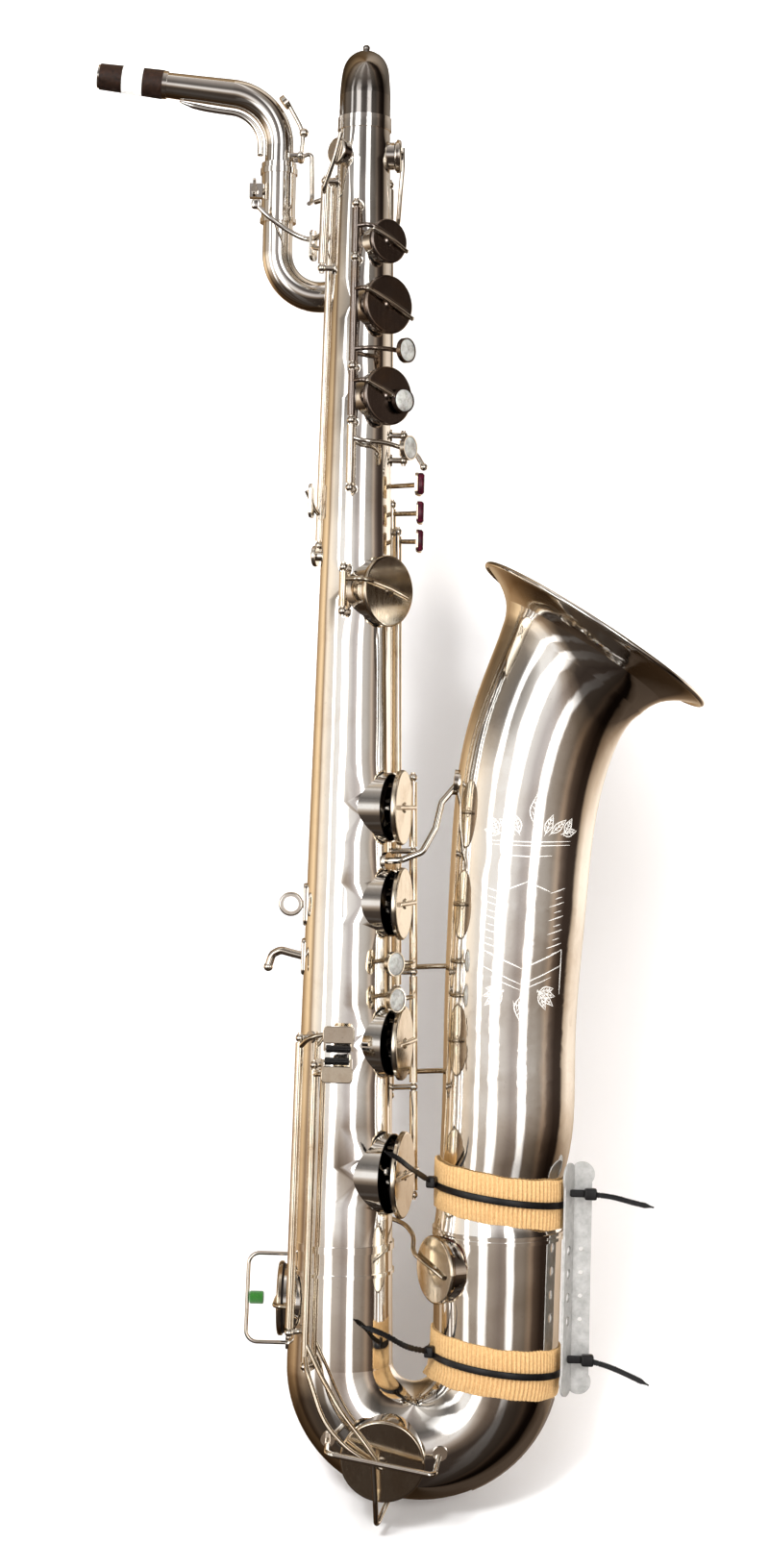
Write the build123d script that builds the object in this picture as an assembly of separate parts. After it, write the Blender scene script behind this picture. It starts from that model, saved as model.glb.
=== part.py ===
from build123d import *
import os
from math import cos, radians, sin, tan

# A baritone saxophone, in millimetres. The body tube stands along Z with its foot at z = 0, the bell
# is towards +X, and the player's side is towards +Y. Everything is moved at the end so that the centre
# of the strap ring is the origin.

# body tube: a cone with drawn tone holes
body_length = 790.0
body_top_radius = 18.0
body_foot_radius = 35.5
wall = 0.8
rim_lift = 3.0            # a tone hole's rim stands this far off the tube's crown

# bow: two legs and a half ring under the body
bow_leg_bottom = -85.0
bow_bend_radius = 55.0
bow_end_radius = 44.2
bell_joint_height = 12.0
bell_axis_x = 2 * bow_bend_radius

# bell
bell_joint_radius = 45.2
mouth_centre = (169.8, 431.9)
mouth_radius = 90.0
mouth_tilt = 32.1
rim_roll_radius = 1.9

# top bow, crook pipe, receiver and neck lie in one plane behind the body
crook_plane_y = 44.0
top_bow_end_radius = 13.6
top_bow_height = 808.5
crook_joint_height = 790.0
crook_bend_height = 706.0
crook_radius = 10.9
receiver_x = -62.0
receiver_bottom = 736.0
receiver_top = 767.0
crook_bend_radius = -receiver_x / 2
tenon_radius = 10.2

# neck: up from the receiver, round a bend, then out along a slight rise to the cork
neck_bend_height = 783.5
neck_bend_radius = 38.0
neck_rise = 6.3
neck_length = 97.7
neck_bend_tube = 10.2
neck_end_tube = 9.0
cork_length = 46.0
cork_core = 8.4

# key work
rod_radius = 1.6
running_gap = 0.05
tube_radius = 2.9
ball_radius = 3.0
post_radius = 2.0
arm_radius = 1.7
longest_bend = 60.0
cup_depth = 4.6
pad_depth = 3.4
pad_gap = 0.3             # a closed pad stops this far from its tone hole's rim

# key posts and rods: angle round the tube from the front towards the bell, and lift off the wall
upper_rod = {"angle": -9.0, "lift": 8.0}
lower_rod = {"angle": 107.0, "lift": 17.5}
gsharp_rod = {"angle": -14.0, "lift": 8.0}
eflat_rod = {"angle": -49.0, "lift": 10.0}
low_c_rod = {"angle": -33.0, "lift": 6.5}
low_bflat_rod = {"angle": 119.0, "lift": 9.0}
low_b_rod = {"angle": 131.0, "lift": 9.0}
low_csharp_rod = {"angle": 143.0, "lift": 9.0}
octave_rod = {"angle": -125.0, "lift": 8.0}
palm_rod = {"angle": -85.0, "lift": 8.0}
high_e_rod = {"angle": 135.0, "lift": 7.5}
gsharp_lever_rod = {"angle": 92.0, "lift": 9.0}

strap_ring_height = 237.0
strap_ring_angle = -90.0
on_base = (Align.CENTER, Align.CENTER, Align.MIN)


def body_radius(z):
    return body_foot_radius + (body_top_radius - body_foot_radius) * z / body_length


def facing(angle):
    return Vector(sin(radians(angle)), -cos(radians(angle)), 0)


def across(angle):
    return Vector(cos(radians(angle)), sin(radians(angle)), 0)


def near_body(z, angle, lift=0.0, side=0.0):
    """A point off the body tube's wall, at an angle round it, moved sideways along the wall."""
    return facing(angle) * (body_radius(z) + lift) + across(angle) * side + Vector(0, 0, z)


def on_rod(rod, z):
    return near_body(z, rod["angle"], rod["lift"])


def bar(start, end, radius):
    run = Vector(end) - Vector(start)
    along = Plane(origin=start, z_dir=run.normalized())
    return along * Cylinder(radius, run.length, align=on_base)


def ball(centre, radius):
    return Pos(Vector(centre)) * Sphere(radius)


def disc(centre, normal, radius, depth):
    """A round plate that starts at centre and grows along normal."""
    return bar(centre, Vector(centre) + Vector(normal).normalized() * depth, radius)


def corner_radii(points):
    """For each corner of a route, the largest bend that its two runs leave room for."""
    radii = []
    for before, here, after in zip(points, points[1:], points[2:]):
        turn = (here - before).get_angle(after - here)
        room = 0.45 * min((here - before).length, (after - here).length)
        radii.append(min(longest_bend, room / tan(radians(turn) / 2)))
    return radii


def arm(points, radius=arm_radius):
    """A bent bar, as key arms are: straight runs joined by even bends."""
    route = [Vector(point) for point in points]
    if len(route) == 2:
        return bar(route[0], route[1], radius)
    path = FilletPolyline(*route, radius=corner_radii(route))
    return sweep(Plane(origin=path @ 0, z_dir=path % 0) * Circle(radius), path)


def plate(centre, normal, upright, width, height, depth, corner):
    """A flat touch plate with round corners and a soft top edge."""
    across_plate = Vector(upright).cross(Vector(normal))
    frame = Plane(origin=centre, x_dir=across_plate, z_dir=normal)
    shape = extrude(RectangleRounded(width, height, corner), depth)
    shape = fillet(shape.faces().sort_by(Axis.Z)[-1].edges(), depth * 0.35)
    return frame * shape


def body_cone(shrink=0.0, bottom=-140.0, top=body_length):
    """The body's cone, carried on below the foot as the bow's leg."""
    low = body_radius(bottom) - shrink
    high = body_radius(top) - shrink
    cone = Cone(low, high, top - bottom, align=on_base)
    return Pos(0, 0, bottom) * cone


def hinge_tube(rod, bottom, top):
    start = on_rod(rod, bottom)
    end = on_rod(rod, top)
    return bar(start, end, tube_radius)


def rod_bore(rod, bottom, top):
    """What is taken out of a key so that it turns freely on its rod."""
    return bar(on_rod(rod, bottom - 2), on_rod(rod, top + 2), rod_radius + running_gap)


def post(rod, z):
    """A ball-headed post from the tube's wall to a rod."""
    foot = near_body(z, rod["angle"], -2.0)
    head = on_rod(rod, z)
    shape = bar(foot, head, post_radius) + ball(head, ball_radius)
    shape += disc(near_body(z, rod["angle"], -2.0), facing(rod["angle"]), post_radius + 2.2, 3.0)
    shape -= body_cone()
    return shape - bar(on_rod(rod, z - 8), on_rod(rod, z + 8), rod_radius)


def ring_point(turn, centre_z=bow_leg_bottom):
    """A point on the bow's centre line, turn degrees round from the body's leg."""
    x = bow_bend_radius * (1 - cos(radians(turn)))
    return Vector(x, 0, centre_z - bow_bend_radius * sin(radians(turn)))


def ring_radius(turn):
    start = body_radius(bow_leg_bottom)
    return start + (bow_end_radius - start) * turn / 180


def tube_through(sections, shrink=0.0):
    """A solid through round sections, each a centre, a direction and a radius."""
    faces = [Plane(origin=c, z_dir=d) * Circle(r - shrink) for c, d, r in sections]
    return loft(faces)


def bow_sections():
    step = 22.5
    turns = [step * i for i in range(9)]
    sections = []
    for turn in turns:
        direction = Vector(sin(radians(turn)), 0, -cos(radians(turn)))
        sections.append((ring_point(turn), direction, ring_radius(turn)))
    return sections


def bow_end_cone(shrink=0.0):
    height = bell_joint_height - bow_leg_bottom
    cone = Cone(bow_end_radius - shrink, bell_joint_radius - shrink, height,
                align=on_base)
    return Pos(bell_axis_x, 0, bow_leg_bottom) * cone


def rim_frame(axis_point, angle, radius):
    """The plane of a tone hole's rim: its Z points away from the tube, its Y points up."""
    centre = Vector(axis_point) + facing(angle) * (radius + rim_lift)
    return Plane(origin=centre, x_dir=across(angle), z_dir=facing(angle))


def body_rim(z, angle):
    return rim_frame((0, 0, z), angle, body_radius(z))


def chimney(frame, cup_radius, depth=26.0):
    return frame * (Pos(0, 0, -depth) * Cylinder(cup_radius - 2.0, depth, align=on_base))


def chimney_bore(frame, cup_radius, depth=34.0):
    return frame * (Pos(0, 0, -depth) * Cylinder(cup_radius - 3.1, depth + 1, align=on_base))


# every tone hole: its place on the body, and the radius of the cup that covers it
body_holes = {
    "c": {"z": 702.5, "angle": 43.0, "cup": 15.5},
    "b": {"z": 658.0, "angle": 43.0, "cup": 20.5},
    "a": {"z": 594.0, "angle": 43.0, "cup": 20.5},
    "gsharp": {"z": 458.0, "angle": 47.0, "cup": 25.0},
    "f_sharp": {"z": 306.8, "angle": 68.0, "cup": 26.5},
    "f": {"z": 239.4, "angle": 68.0, "cup": 25.5},
    "e": {"z": 141.7, "angle": 68.0, "cup": 26.0},
    "d": {"z": 49.4, "angle": 68.0, "cup": 30.5},
    "palm_d": {"z": 766.0, "angle": -49.0, "cup": 9.5},
    "high_e": {"z": 767.0, "angle": 88.0, "cup": 11.5},
}
eflat_hole = {"z": -42.0, "angle": -92.0, "cup": 26.0}
low_c_hole = {"turn": 68.0, "outward": 9.0, "cup": 29.5}
low_csharp_hole = {"z": -14.6, "angle": -60.0, "cup": 24.0}
low_b_hole = {"z": 115.6, "angle": -165.0, "cup": 29.5}
low_bflat_hole = {"z": 191.6, "angle": -165.0, "cup": 30.5}


def hole_frame(hole):
    return body_rim(hole["z"], hole["angle"])


def low_c_frame():
    turn = low_c_hole["turn"]
    outward = Vector(-cos(radians(turn)), 0, -sin(radians(turn)))
    tilt = radians(low_c_hole["outward"])
    normal = Vector(0, -1, 0) * cos(tilt) + outward * sin(tilt)
    centre = ring_point(turn) + normal * (ring_radius(turn) + rim_lift)
    return Plane(origin=centre, x_dir=Vector(0, 0, 1).cross(normal), z_dir=normal)


def bell_leg_radius(z):
    share = (z - bow_leg_bottom) / (bell_joint_height - bow_leg_bottom)
    return bow_end_radius + (bell_joint_radius - bow_end_radius) * share


def low_csharp_frame():
    z = low_csharp_hole["z"]
    return rim_frame((bell_axis_x, 0, z), low_csharp_hole["angle"], bell_leg_radius(z))


# the bell's centre line: x, z, radius and lean towards +X
bell_stations = [
    (110.0, 12.0, 45.2, 0.0),
    (113.3, 63.5, 45.3, 1.4),
    (115.4, 131.6, 46.6, 1.5),
    (117.4, 210.0, 47.9, 2.2),
    (120.4, 270.0, 49.2, 4.5),
    (125.2, 322.0, 50.8, 8.5),
    (132.8, 357.0, 52.0, 15.0),
    (142.4, 384.0, 53.2, 23.5),
]
flare_depth = 29.6
flare_radius = 58.0


def bell_station_at(z):
    """The bell's centre and radius at a height in its straight part."""
    for low, high in zip(bell_stations, bell_stations[1:]):
        if low[1] <= z <= high[1]:
            share = (z - low[1]) / (high[1] - low[1])
            centre = Vector(low[0] + share * (high[0] - low[0]), 0, z)
            return centre, low[2] + share * (high[2] - low[2])


def bell_frame(hole):
    centre, radius = bell_station_at(hole["z"])
    return rim_frame(centre, hole["angle"], radius)


def bell_sections():
    sections = []
    for x, z, radius, lean in bell_stations:
        direction = Vector(sin(radians(lean)), 0, cos(radians(lean)))
        sections.append((Vector(x, 0, z), direction, radius))
    mouth = mouth_frame()
    sections.append((mouth.from_local_coords((0, 0, -flare_depth)), mouth.z_dir, flare_radius))
    return sections


def body_tube():
    shape = body_cone(bottom=0)
    for hole in body_holes.values():
        shape += chimney(hole_frame(hole), hole["cup"])
    shape -= body_cone(wall, bottom=0)
    for hole in body_holes.values():
        shape -= chimney_bore(hole_frame(hole), hole["cup"])
    return shape


def bow_solid(shrink=0.0):
    legs = body_cone(shrink, bottom=bow_leg_bottom, top=0) + bow_end_cone(shrink)
    return legs + tube_through(bow_sections(), shrink)


def bow():
    outer = bow_solid()
    covers = [
        (hole_frame(eflat_hole), eflat_hole["cup"]),
        (low_c_frame(), low_c_hole["cup"]),
        (low_csharp_frame(), low_csharp_hole["cup"]),
    ]
    for frame, cup in covers:
        outer += chimney(frame, cup)
    outer -= bow_solid(wall)
    for frame, cup in covers:
        outer -= chimney_bore(frame, cup)
    return outer


def mouth_frame():
    axis = Vector(sin(radians(mouth_tilt)), 0, cos(radians(mouth_tilt)))
    centre = Vector(mouth_centre[0], 0, mouth_centre[1])
    return Plane(origin=centre, x_dir=(0, 1, 0), z_dir=axis)


def flare():
    """The last flare of the bell, a profile of two arcs turned round the mouth's axis."""
    depth = -flare_depth
    outer = [(flare_radius, depth), (60.6, -22.0), (65.5, -14.4), (75.6, -6.4), (mouth_radius, -0.8)]
    inner = [(mouth_radius, 0.2), (75.0, -5.3), (64.7, -13.8), (59.8, -21.7), (flare_radius - wall, depth)]
    profile = ThreePointArc(outer[0], outer[1], outer[2]) + ThreePointArc(outer[2], outer[3], outer[4])
    profile += Line(outer[4], inner[0])
    profile += ThreePointArc(inner[0], inner[1], inner[2]) + ThreePointArc(inner[2], inner[3], inner[4])
    profile += Line(inner[4], outer[0])
    turned = revolve(Plane.XZ * make_face(profile), Axis.Z)
    turned += Pos(0, 0, -0.3) * Torus(mouth_radius, rim_roll_radius)
    return mouth_frame() * turned


def bell():
    outer = tube_through(bell_sections())
    for hole in (low_b_hole, low_bflat_hole):
        outer += chimney(bell_frame(hole), hole["cup"])
    outer -= tube_through(bell_sections(), wall)
    for hole in (low_b_hole, low_bflat_hole):
        outer -= chimney_bore(bell_frame(hole), hole["cup"])
    return outer + flare()


def top_bow_sections():
    """The hairpin over the top of the body, turning back behind it."""
    bend = crook_plane_y / 2
    sections = []
    for turn in (0, 30, 60, 90, 120, 150, 180):
        angle = radians(turn)
        centre = Vector(0, bend * (1 - cos(angle)), top_bow_height + bend * sin(angle))
        radius = body_top_radius + (top_bow_end_radius - body_top_radius) * turn / 180
        sections.append((centre, Vector(0, sin(angle), cos(angle)), radius))
    return sections


def top_bow():
    def shell(shrink):
        rise = Pos(0, 0, body_length) * Cylinder(body_top_radius - shrink, top_bow_height - body_length,
                                                 align=on_base)
        drop = Pos(0, crook_plane_y, crook_joint_height) * Cylinder(
            top_bow_end_radius - shrink, top_bow_height - crook_joint_height, align=on_base)
        return rise + tube_through(top_bow_sections(), shrink) + drop

    ridge = Plane.YZ * (Pos(crook_plane_y / 2, top_bow_height) * RectangleRounded(18, 30, 4))
    crest = Pos(0, crook_plane_y / 2 - 9, top_bow_height + 38.5) * Sphere(2.6)
    outer = shell(0) + extrude(ridge, 1.2, both=True) + crest
    return outer - shell(wall)


def crook_pipe():
    def shape(shrink):
        drop = Pos(0, crook_plane_y, crook_bend_height) * Cone(
            crook_radius - shrink, top_bow_end_radius - shrink, crook_joint_height - crook_bend_height,
            align=on_base)
        start = Pos(0, crook_plane_y, crook_bend_height) * Circle(crook_radius - shrink)
        turning = Axis((-crook_bend_radius, crook_plane_y, crook_bend_height), (0, 1, 0))
        ring = revolve(start, turning, 180)
        rise = Pos(receiver_x, crook_plane_y, crook_bend_height) * Cylinder(
            crook_radius - shrink, receiver_bottom - crook_bend_height, align=on_base)
        return drop + ring + rise
    return shape(0) - shape(wall)


def in_receiver(x, y, z):
    """A point measured from the receiver's axis."""
    return Vector(receiver_x + x, crook_plane_y + y, z)


clamp_height = 751.0
clamp_reach = -17.0
clamp_screw_radius = 1.6


def neck_receiver():
    height = receiver_top - receiver_bottom + 8
    outer = Pos(in_receiver(0, 0, receiver_bottom - 8)) * Cylinder(12.4, height, align=on_base)
    outer += Pos(in_receiver(0, 0, receiver_top - 4)) * Cylinder(13.4, 4, align=on_base)
    outer += Pos(in_receiver(0, 0, receiver_bottom - 8)) * Cylinder(13.2, 3, align=on_base)
    outer += Pos(in_receiver(clamp_reach + 2, 0, clamp_height)) * Box(12, 7.6, 10)
    outer -= Pos(in_receiver(0, 0, receiver_bottom - 9)) * Cylinder(crook_radius, 9, align=on_base)
    socket = Cylinder(tenon_radius + running_gap, 40, align=on_base)
    outer -= Pos(in_receiver(0, 0, receiver_bottom)) * socket
    outer -= Pos(in_receiver(-16, 0, clamp_height + 3)) * Box(14, 1.4, 34)
    screw_start = in_receiver(clamp_reach, -9, clamp_height)
    screw_end = in_receiver(clamp_reach, 9, clamp_height)
    return outer - bar(screw_start, screw_end, clamp_screw_radius + running_gap)


def clamp_screw():
    """A thumb screw across the receiver's split."""
    def place(y):
        return in_receiver(clamp_reach, y, clamp_height)
    shape = bar(place(-7.5), place(7.5), clamp_screw_radius) + bar(place(4.2), place(6.2), 3.0)
    shape += bar(place(-7.5), place(-4.2), 2.6)
    grip = Plane(origin=place(-11), x_dir=(0, 0, 1), z_dir=(1, 0, 0)) * RectangleRounded(13, 8, 3)
    return shape + extrude(grip, 0.9, both=True)


def neck_straight():
    """The frame of the neck's straight run: its Z points from the bend to the cork."""
    rise = radians(neck_rise)
    bend_x = -neck_bend_radius + neck_bend_radius * sin(rise)
    origin = in_receiver(bend_x, 0, neck_bend_height + neck_bend_radius * cos(rise))
    return Plane(origin=origin, x_dir=(0, 1, 0), z_dir=(-cos(rise), 0, sin(rise)))


def neck_tube():
    def shape(shrink):
        tenon = Pos(in_receiver(0, 0, 742)) * Cylinder(tenon_radius - shrink, 27, align=on_base)
        rise = Cone(neck_bend_tube + 0.4 - shrink, neck_bend_tube - shrink,
                    neck_bend_height - receiver_top, align=on_base)
        rise = Pos(in_receiver(0, 0, receiver_top)) * rise
        turning = Axis(in_receiver(-neck_bend_radius, 0, neck_bend_height), (0, -1, 0))
        start = Pos(in_receiver(0, 0, neck_bend_height)) * Circle(neck_bend_tube - shrink)
        bend = revolve(start, turning, 90 - neck_rise)
        run = neck_length - cork_length
        straight = Cone(neck_bend_tube - shrink, neck_end_tube - shrink, run, align=on_base)
        straight = neck_straight() * straight
        inside_cork = Cylinder(cork_core - shrink, cork_length + 1.5, align=on_base)
        inside_cork = neck_straight() * Pos(0, 0, run) * inside_cork
        return tenon + rise + bend + straight + inside_cork
    collar = Pos(in_receiver(0, 0, receiver_top + 0.4)) * Cylinder(12.6, 3.6, align=on_base)
    ring = neck_straight() * Pos(0, 0, neck_length - cork_length - 3) * Cylinder(10.1, 3, align=on_base)
    outer = shape(0) + collar + ring
    for y in (-7, 7):
        outer += bar(in_receiver(7.5, y, 776), in_receiver(15.5, y, 776), 1.8)
        outer += ball(in_receiver(15.5, y, 776), 2.6)
    outer += bar(in_receiver(15.5, -7, 776), in_receiver(15.5, 7, 776), 1.2)
    return outer - shape(0.9)


def neck_cork():
    cork = Cone(10.4, 9.35, cork_length, align=on_base) - Cylinder(cork_core, cork_length, align=on_base)
    return neck_straight() * Pos(0, 0, neck_length - cork_length) * cork


def cork_tape():
    low = neck_length - 31.4
    high = neck_length - 16.7
    def radius(along):
        return 10.4 - 1.05 * (along - neck_length + cork_length) / cork_length
    band = Cone(radius(low) + 0.3, radius(high) + 0.3, high - low, align=on_base)
    band -= Cone(radius(low), radius(high), high - low, align=on_base)
    return neck_straight() * Pos(0, 0, low) * band


def neck_octave_key():
    """The octave lever on the neck: a pad over the bend, and a loop down beside the receiver."""
    hinge = in_receiver(15.5, 0, 776)
    shape = bar(hinge + Vector(0, -4.1, 0), hinge + Vector(0, 4.1, 0), 2.6)
    lean = radians(38)
    reach = neck_bend_radius + neck_bend_tube + 2.6
    pad = in_receiver(-neck_bend_radius + reach * cos(lean), 0, neck_bend_height + reach * sin(lean))
    away = Vector(cos(lean), 0, sin(lean))
    shape += disc(pad, away, 5.2, 3.6)
    shape += arm([hinge, in_receiver(17.5, 0, 794), pad + away * 3.4], 1.5)
    shape += ball(in_receiver(17.5, 0, 794), 3.4)
    loop = [hinge, in_receiver(23.5, 0, 780), in_receiver(24.5, 0, 744), in_receiver(22.5, -12, 740)]
    shape += arm(loop, 1.5)
    return shape - bar(hinge + Vector(0, -6, 0), hinge + Vector(0, 6, 0), 1.2 + running_gap)


def tube_ferrules():
    """Bands over the joints of the tubes."""
    def band(frame_low, radius_low, radius_high, height, thick=1.3):
        corners = [(radius_low, 0), (radius_low + thick, 0)]
        corners += [(radius_high + thick, height), (radius_high, height)]
        section = Plane.XZ * make_face(Polyline(corners, close=True))
        return Pos(frame_low) * revolve(section, Axis.Z)
    rings = [
        band((0, 0, -4), body_radius(-4), body_radius(1), 5),
        band((0, 0, -21), body_radius(-21), body_radius(-18.5), 2.5),
        band((bell_axis_x, 0, 10), bell_leg_radius(10), bell_joint_radius, 2),
        band((bell_axis_x, 0, 6), bell_leg_radius(6), bell_leg_radius(8.4), 2.4),
        band((0, 0, body_length - 6), body_radius(body_length - 6), body_radius(body_length), 6, 0.9),
        band((0, 0, body_length), body_top_radius, body_top_radius, 3, 0.9),
        band((0, crook_plane_y, crook_joint_height), top_bow_end_radius, top_bow_end_radius, 5),
    ]
    return Compound(children=rings)


# keys: each stands closed on its hole here, and is turned on its rod to the way it rests
stack_keys = {
    "c": {"rod": upper_rod, "tube": (693.0, 724.0), "reach": 9.0, "rest": -6.0},
    "b": {"rod": upper_rod, "tube": (617.0, 686.4), "reach": 9.0, "rest": -6.0},
    "a": {"rod": upper_rod, "tube": (579.0, 610.4), "reach": 9.0, "rest": -6.0},
    "gsharp": {"rod": gsharp_rod, "tube": (446.0, 470.0), "reach": 7.0, "rest": 0.0},
    "f_sharp": {"rod": lower_rod, "tube": (279.0, 325.0), "reach": 0.0, "rest": 8.0},
    "f": {"rod": lower_rod, "tube": (193.0, 272.4), "reach": 0.0, "rest": 8.0},
    "e": {"rod": lower_rod, "tube": (111.0, 186.4), "reach": 0.0, "rest": 8.0},
    "d": {"rod": lower_rod, "tube": (34.0, 104.4), "reach": 0.0, "rest": 8.0},
}


def cup_shell(frame, radius):
    """A key cup over its closed pad: open below for the pad, rounded above, with a small boss."""
    low = pad_gap + 1.3
    shell = Pos(0, 0, low) * Cylinder(radius, cup_depth - 1.3, align=on_base)
    shell = fillet(shell.edges().sort_by(Axis.Z)[-1], 1.7)
    shell -= Cylinder(radius - 1.3, pad_gap + pad_depth, align=on_base)
    boss = Pos(0, 0, pad_gap + cup_depth) * Cone(4.0, 3.0, 1.2, align=on_base)
    return frame * (shell + boss)


def pad_disc(frame, radius):
    pad = Pos(0, 0, pad_gap) * Cylinder(radius - 1.3, pad_depth, align=on_base)
    return frame * fillet(pad.edges().sort_by(Axis.Z)[0], 0.9)


def rod_axis(rod):
    foot = on_rod(rod, 0)
    return Axis(foot, on_rod(rod, 100) - foot)


def at_rest(shape, name):
    key = stack_keys[name]
    return shape.rotate(rod_axis(key["rod"]), key["rest"]) if key["rest"] else shape


def pearl_cup(place, normal, radius=8.6):
    """A finger touch: a shallow dish that a pearl sits in."""
    dish = Cylinder(radius, 3.4, align=on_base) - Pos(0, 0, 1.4) * Cylinder(radius - 0.9, 3, align=on_base)
    dish += Pos(0, 0, -2.2) * Cone(2.4, 4.6, 2.2, align=on_base)
    return Plane(origin=place, z_dir=normal) * dish


# finger touches on the stack keys: height, angle and lift of the dish, and the height of its arm's root
touches = {
    "b": {"z": 625.5, "angle": 55.0, "lift": 15.5, "root": 625.5},
    "e": {"z": 173.5, "angle": 40.0, "lift": 9.5, "root": 175.0},
    "f": {"z": 198.5, "angle": 38.0, "lift": 9.5, "root": 198.5},
    "g": {"z": 558.0, "angle": 56.0, "lift": 18.0, "root": 564.0},
}


def touch_arm(rod, touch, lift, angles):
    """A finger touch and the arm that carries it round the tube from its rod."""
    spot = near_body(touch["z"], touch["angle"], touch["lift"])
    under = spot - facing(touch["angle"]) * 2.4
    points = [on_rod(rod, touch["root"])]
    for angle in angles:
        points.append(near_body((touch["root"] + touch["z"]) / 2, angle, lift))
    return arm(points + [under]) + pearl_cup(spot, facing(touch["angle"]))


def cup_arm(frame, hole, key):
    """The arm from a hinge tube up over a cup, ending past its middle."""
    rod = key["rod"]
    reach = key["reach"]
    root = on_rod(rod, hole["z"] + reach)
    side = -1 if frame.to_local_coords(root).X < 0 else 1
    top = pad_gap + cup_depth + 1.0
    over_edge = frame.from_local_coords((side * (hole["cup"] + 1.5), reach, top))
    over_middle = frame.from_local_coords((0, reach * 0.25, top))
    past_middle = frame.from_local_coords((-side * hole["cup"] * 0.7, -reach * 0.45, top - 0.6))
    return arm([root, over_edge, over_middle, past_middle])


def stack_key(name):
    key = stack_keys[name]
    hole = body_holes[name]
    frame = hole_frame(hole)
    bottom, top = key["tube"]
    shape = cup_shell(frame, hole["cup"]) + cup_arm(frame, hole, key)
    if name == "a":
        shape += pearl_cup(frame.from_local_coords((9.0, -3.0, pad_gap + cup_depth + 2.4)), frame.z_dir)
    if name == "b":
        shape += touch_arm(key["rod"], touches[name], 13.0, [12, 36])
    if name in ("e", "f"):
        shape += touch_arm(key["rod"], touches[name], 13.0, [88, 62])
    shape += hinge_tube(key["rod"], bottom, top)
    shape -= rod_bore(key["rod"], bottom, top)
    return at_rest(shape, name)


def stack_pad(name):
    hole = body_holes[name]
    return at_rest(pad_disc(hole_frame(hole), hole["cup"]), name)


g_tube = (532.0, 572.4)


def g_touch():
    """The third finger's touch on the upper rod."""
    shape = touch_arm(upper_rod, touches["g"], 10.0, [10, 34])
    shape += hinge_tube(upper_rod, *g_tube)
    return shape - rod_bore(upper_rod, *g_tube)


# little-finger, thumb and side keys: each has a rod, its tube's ends, and how far it is open at rest
low_csharp = {"rod": low_csharp_rod, "tube": (9.0, 540.0), "reach": 20.0, "rest": 0.0}
low_b = {"rod": low_b_rod, "tube": (103.0, 520.0), "reach": 0.0, "rest": 3.2}
low_bflat = {"rod": low_bflat_rod, "tube": (180.0, 500.0), "reach": 0.0, "rest": 3.2}
eflat = {"rod": eflat_rod, "tube": (-56.0, 142.0), "reach": 0.0, "rest": 0.0}
low_c = {"rod": low_c_rod, "tube": (-78.0, 124.0), "rest": -3.5}
octave = {"rod": octave_rod, "tube": (496.0, 748.0)}
palm_d = {"rod": palm_rod, "tube": (690.0, 745.0), "reach": -26.0}
high_e = {"rod": high_e_rod, "tube": (612.0, 748.0)}
gsharp_lever_tube = (555.5, 566.5)


def with_tube(shape, key):
    """The key with its hinge tube, bored for the rod and turned to the way it rests."""
    bottom, top = key["tube"]
    shape += hinge_tube(key["rod"], bottom, top)
    shape -= rod_bore(key["rod"], bottom, top)
    rest = key.get("rest", 0.0)
    return shape.rotate(rod_axis(key["rod"]), rest) if rest else shape


def table_plate(z):
    """One touch plate of the left little-finger table."""
    return plate(Vector(42.0, -4.0, z), facing(78), (0, 0, 1), 15.0, 15.6, 2.4, 3.0)


def table_arm(rod, root, z):
    return arm([on_rod(rod, root), Vector(37.0, 9.0, (root + z) / 2), Vector(41.6, -1.0, z)])


def low_csharp_key():
    frame = low_csharp_frame()
    top = pad_gap + cup_depth + 1.0
    over_edge = frame.from_local_coords((-low_csharp_hole["cup"] - 1.5, 8.0, top + 1.0))
    points = [on_rod(low_csharp_rod, 12.0), Vector(44.0, 24.0, 9.0), Vector(51.0, 4.0, 3.0), over_edge]
    points += [frame.from_local_coords((0, 1.0, top)), frame.from_local_coords((15.0, -3.0, top - 0.6))]
    shape = cup_shell(frame, low_csharp_hole["cup"]) + arm(points)
    shape += table_plate(535.0) + table_arm(low_csharp_rod, 536.5, 535.0)
    return with_tube(shape, low_csharp)


def low_csharp_pad():
    return pad_disc(low_csharp_frame(), low_csharp_hole["cup"])


def bell_key(hole, key, root, plate_z):
    """A bell key: a cup behind the bell, its arm, and the long tube up to its touch plate."""
    frame = bell_frame(hole)
    top = pad_gap + cup_depth + 1.0
    over_edge = frame.from_local_coords((hole["cup"] + 12.0, 0, top + 3.0))
    points = [on_rod(key["rod"], hole["z"]), over_edge, frame.from_local_coords((0, 0, top))]
    shape = cup_shell(frame, hole["cup"]) + arm(points, 1.9)
    shape += table_plate(plate_z) + table_arm(key["rod"], root, plate_z)
    return with_tube(shape, key)


def bell_pad(hole, key):
    pad = pad_disc(bell_frame(hole), hole["cup"])
    return pad.rotate(rod_axis(key["rod"]), key["rest"])


# right little-finger touches stand off the front of the body, one above the other, a roller on each
touch_x = -4.7
touch_y = -44.0
touch_width = 22.0
roller_length = 17.0
roller_radius = 2.6
roller_pin = 0.9
eflat_roller_height = 140.0
low_c_roller_height = 131.6


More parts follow.
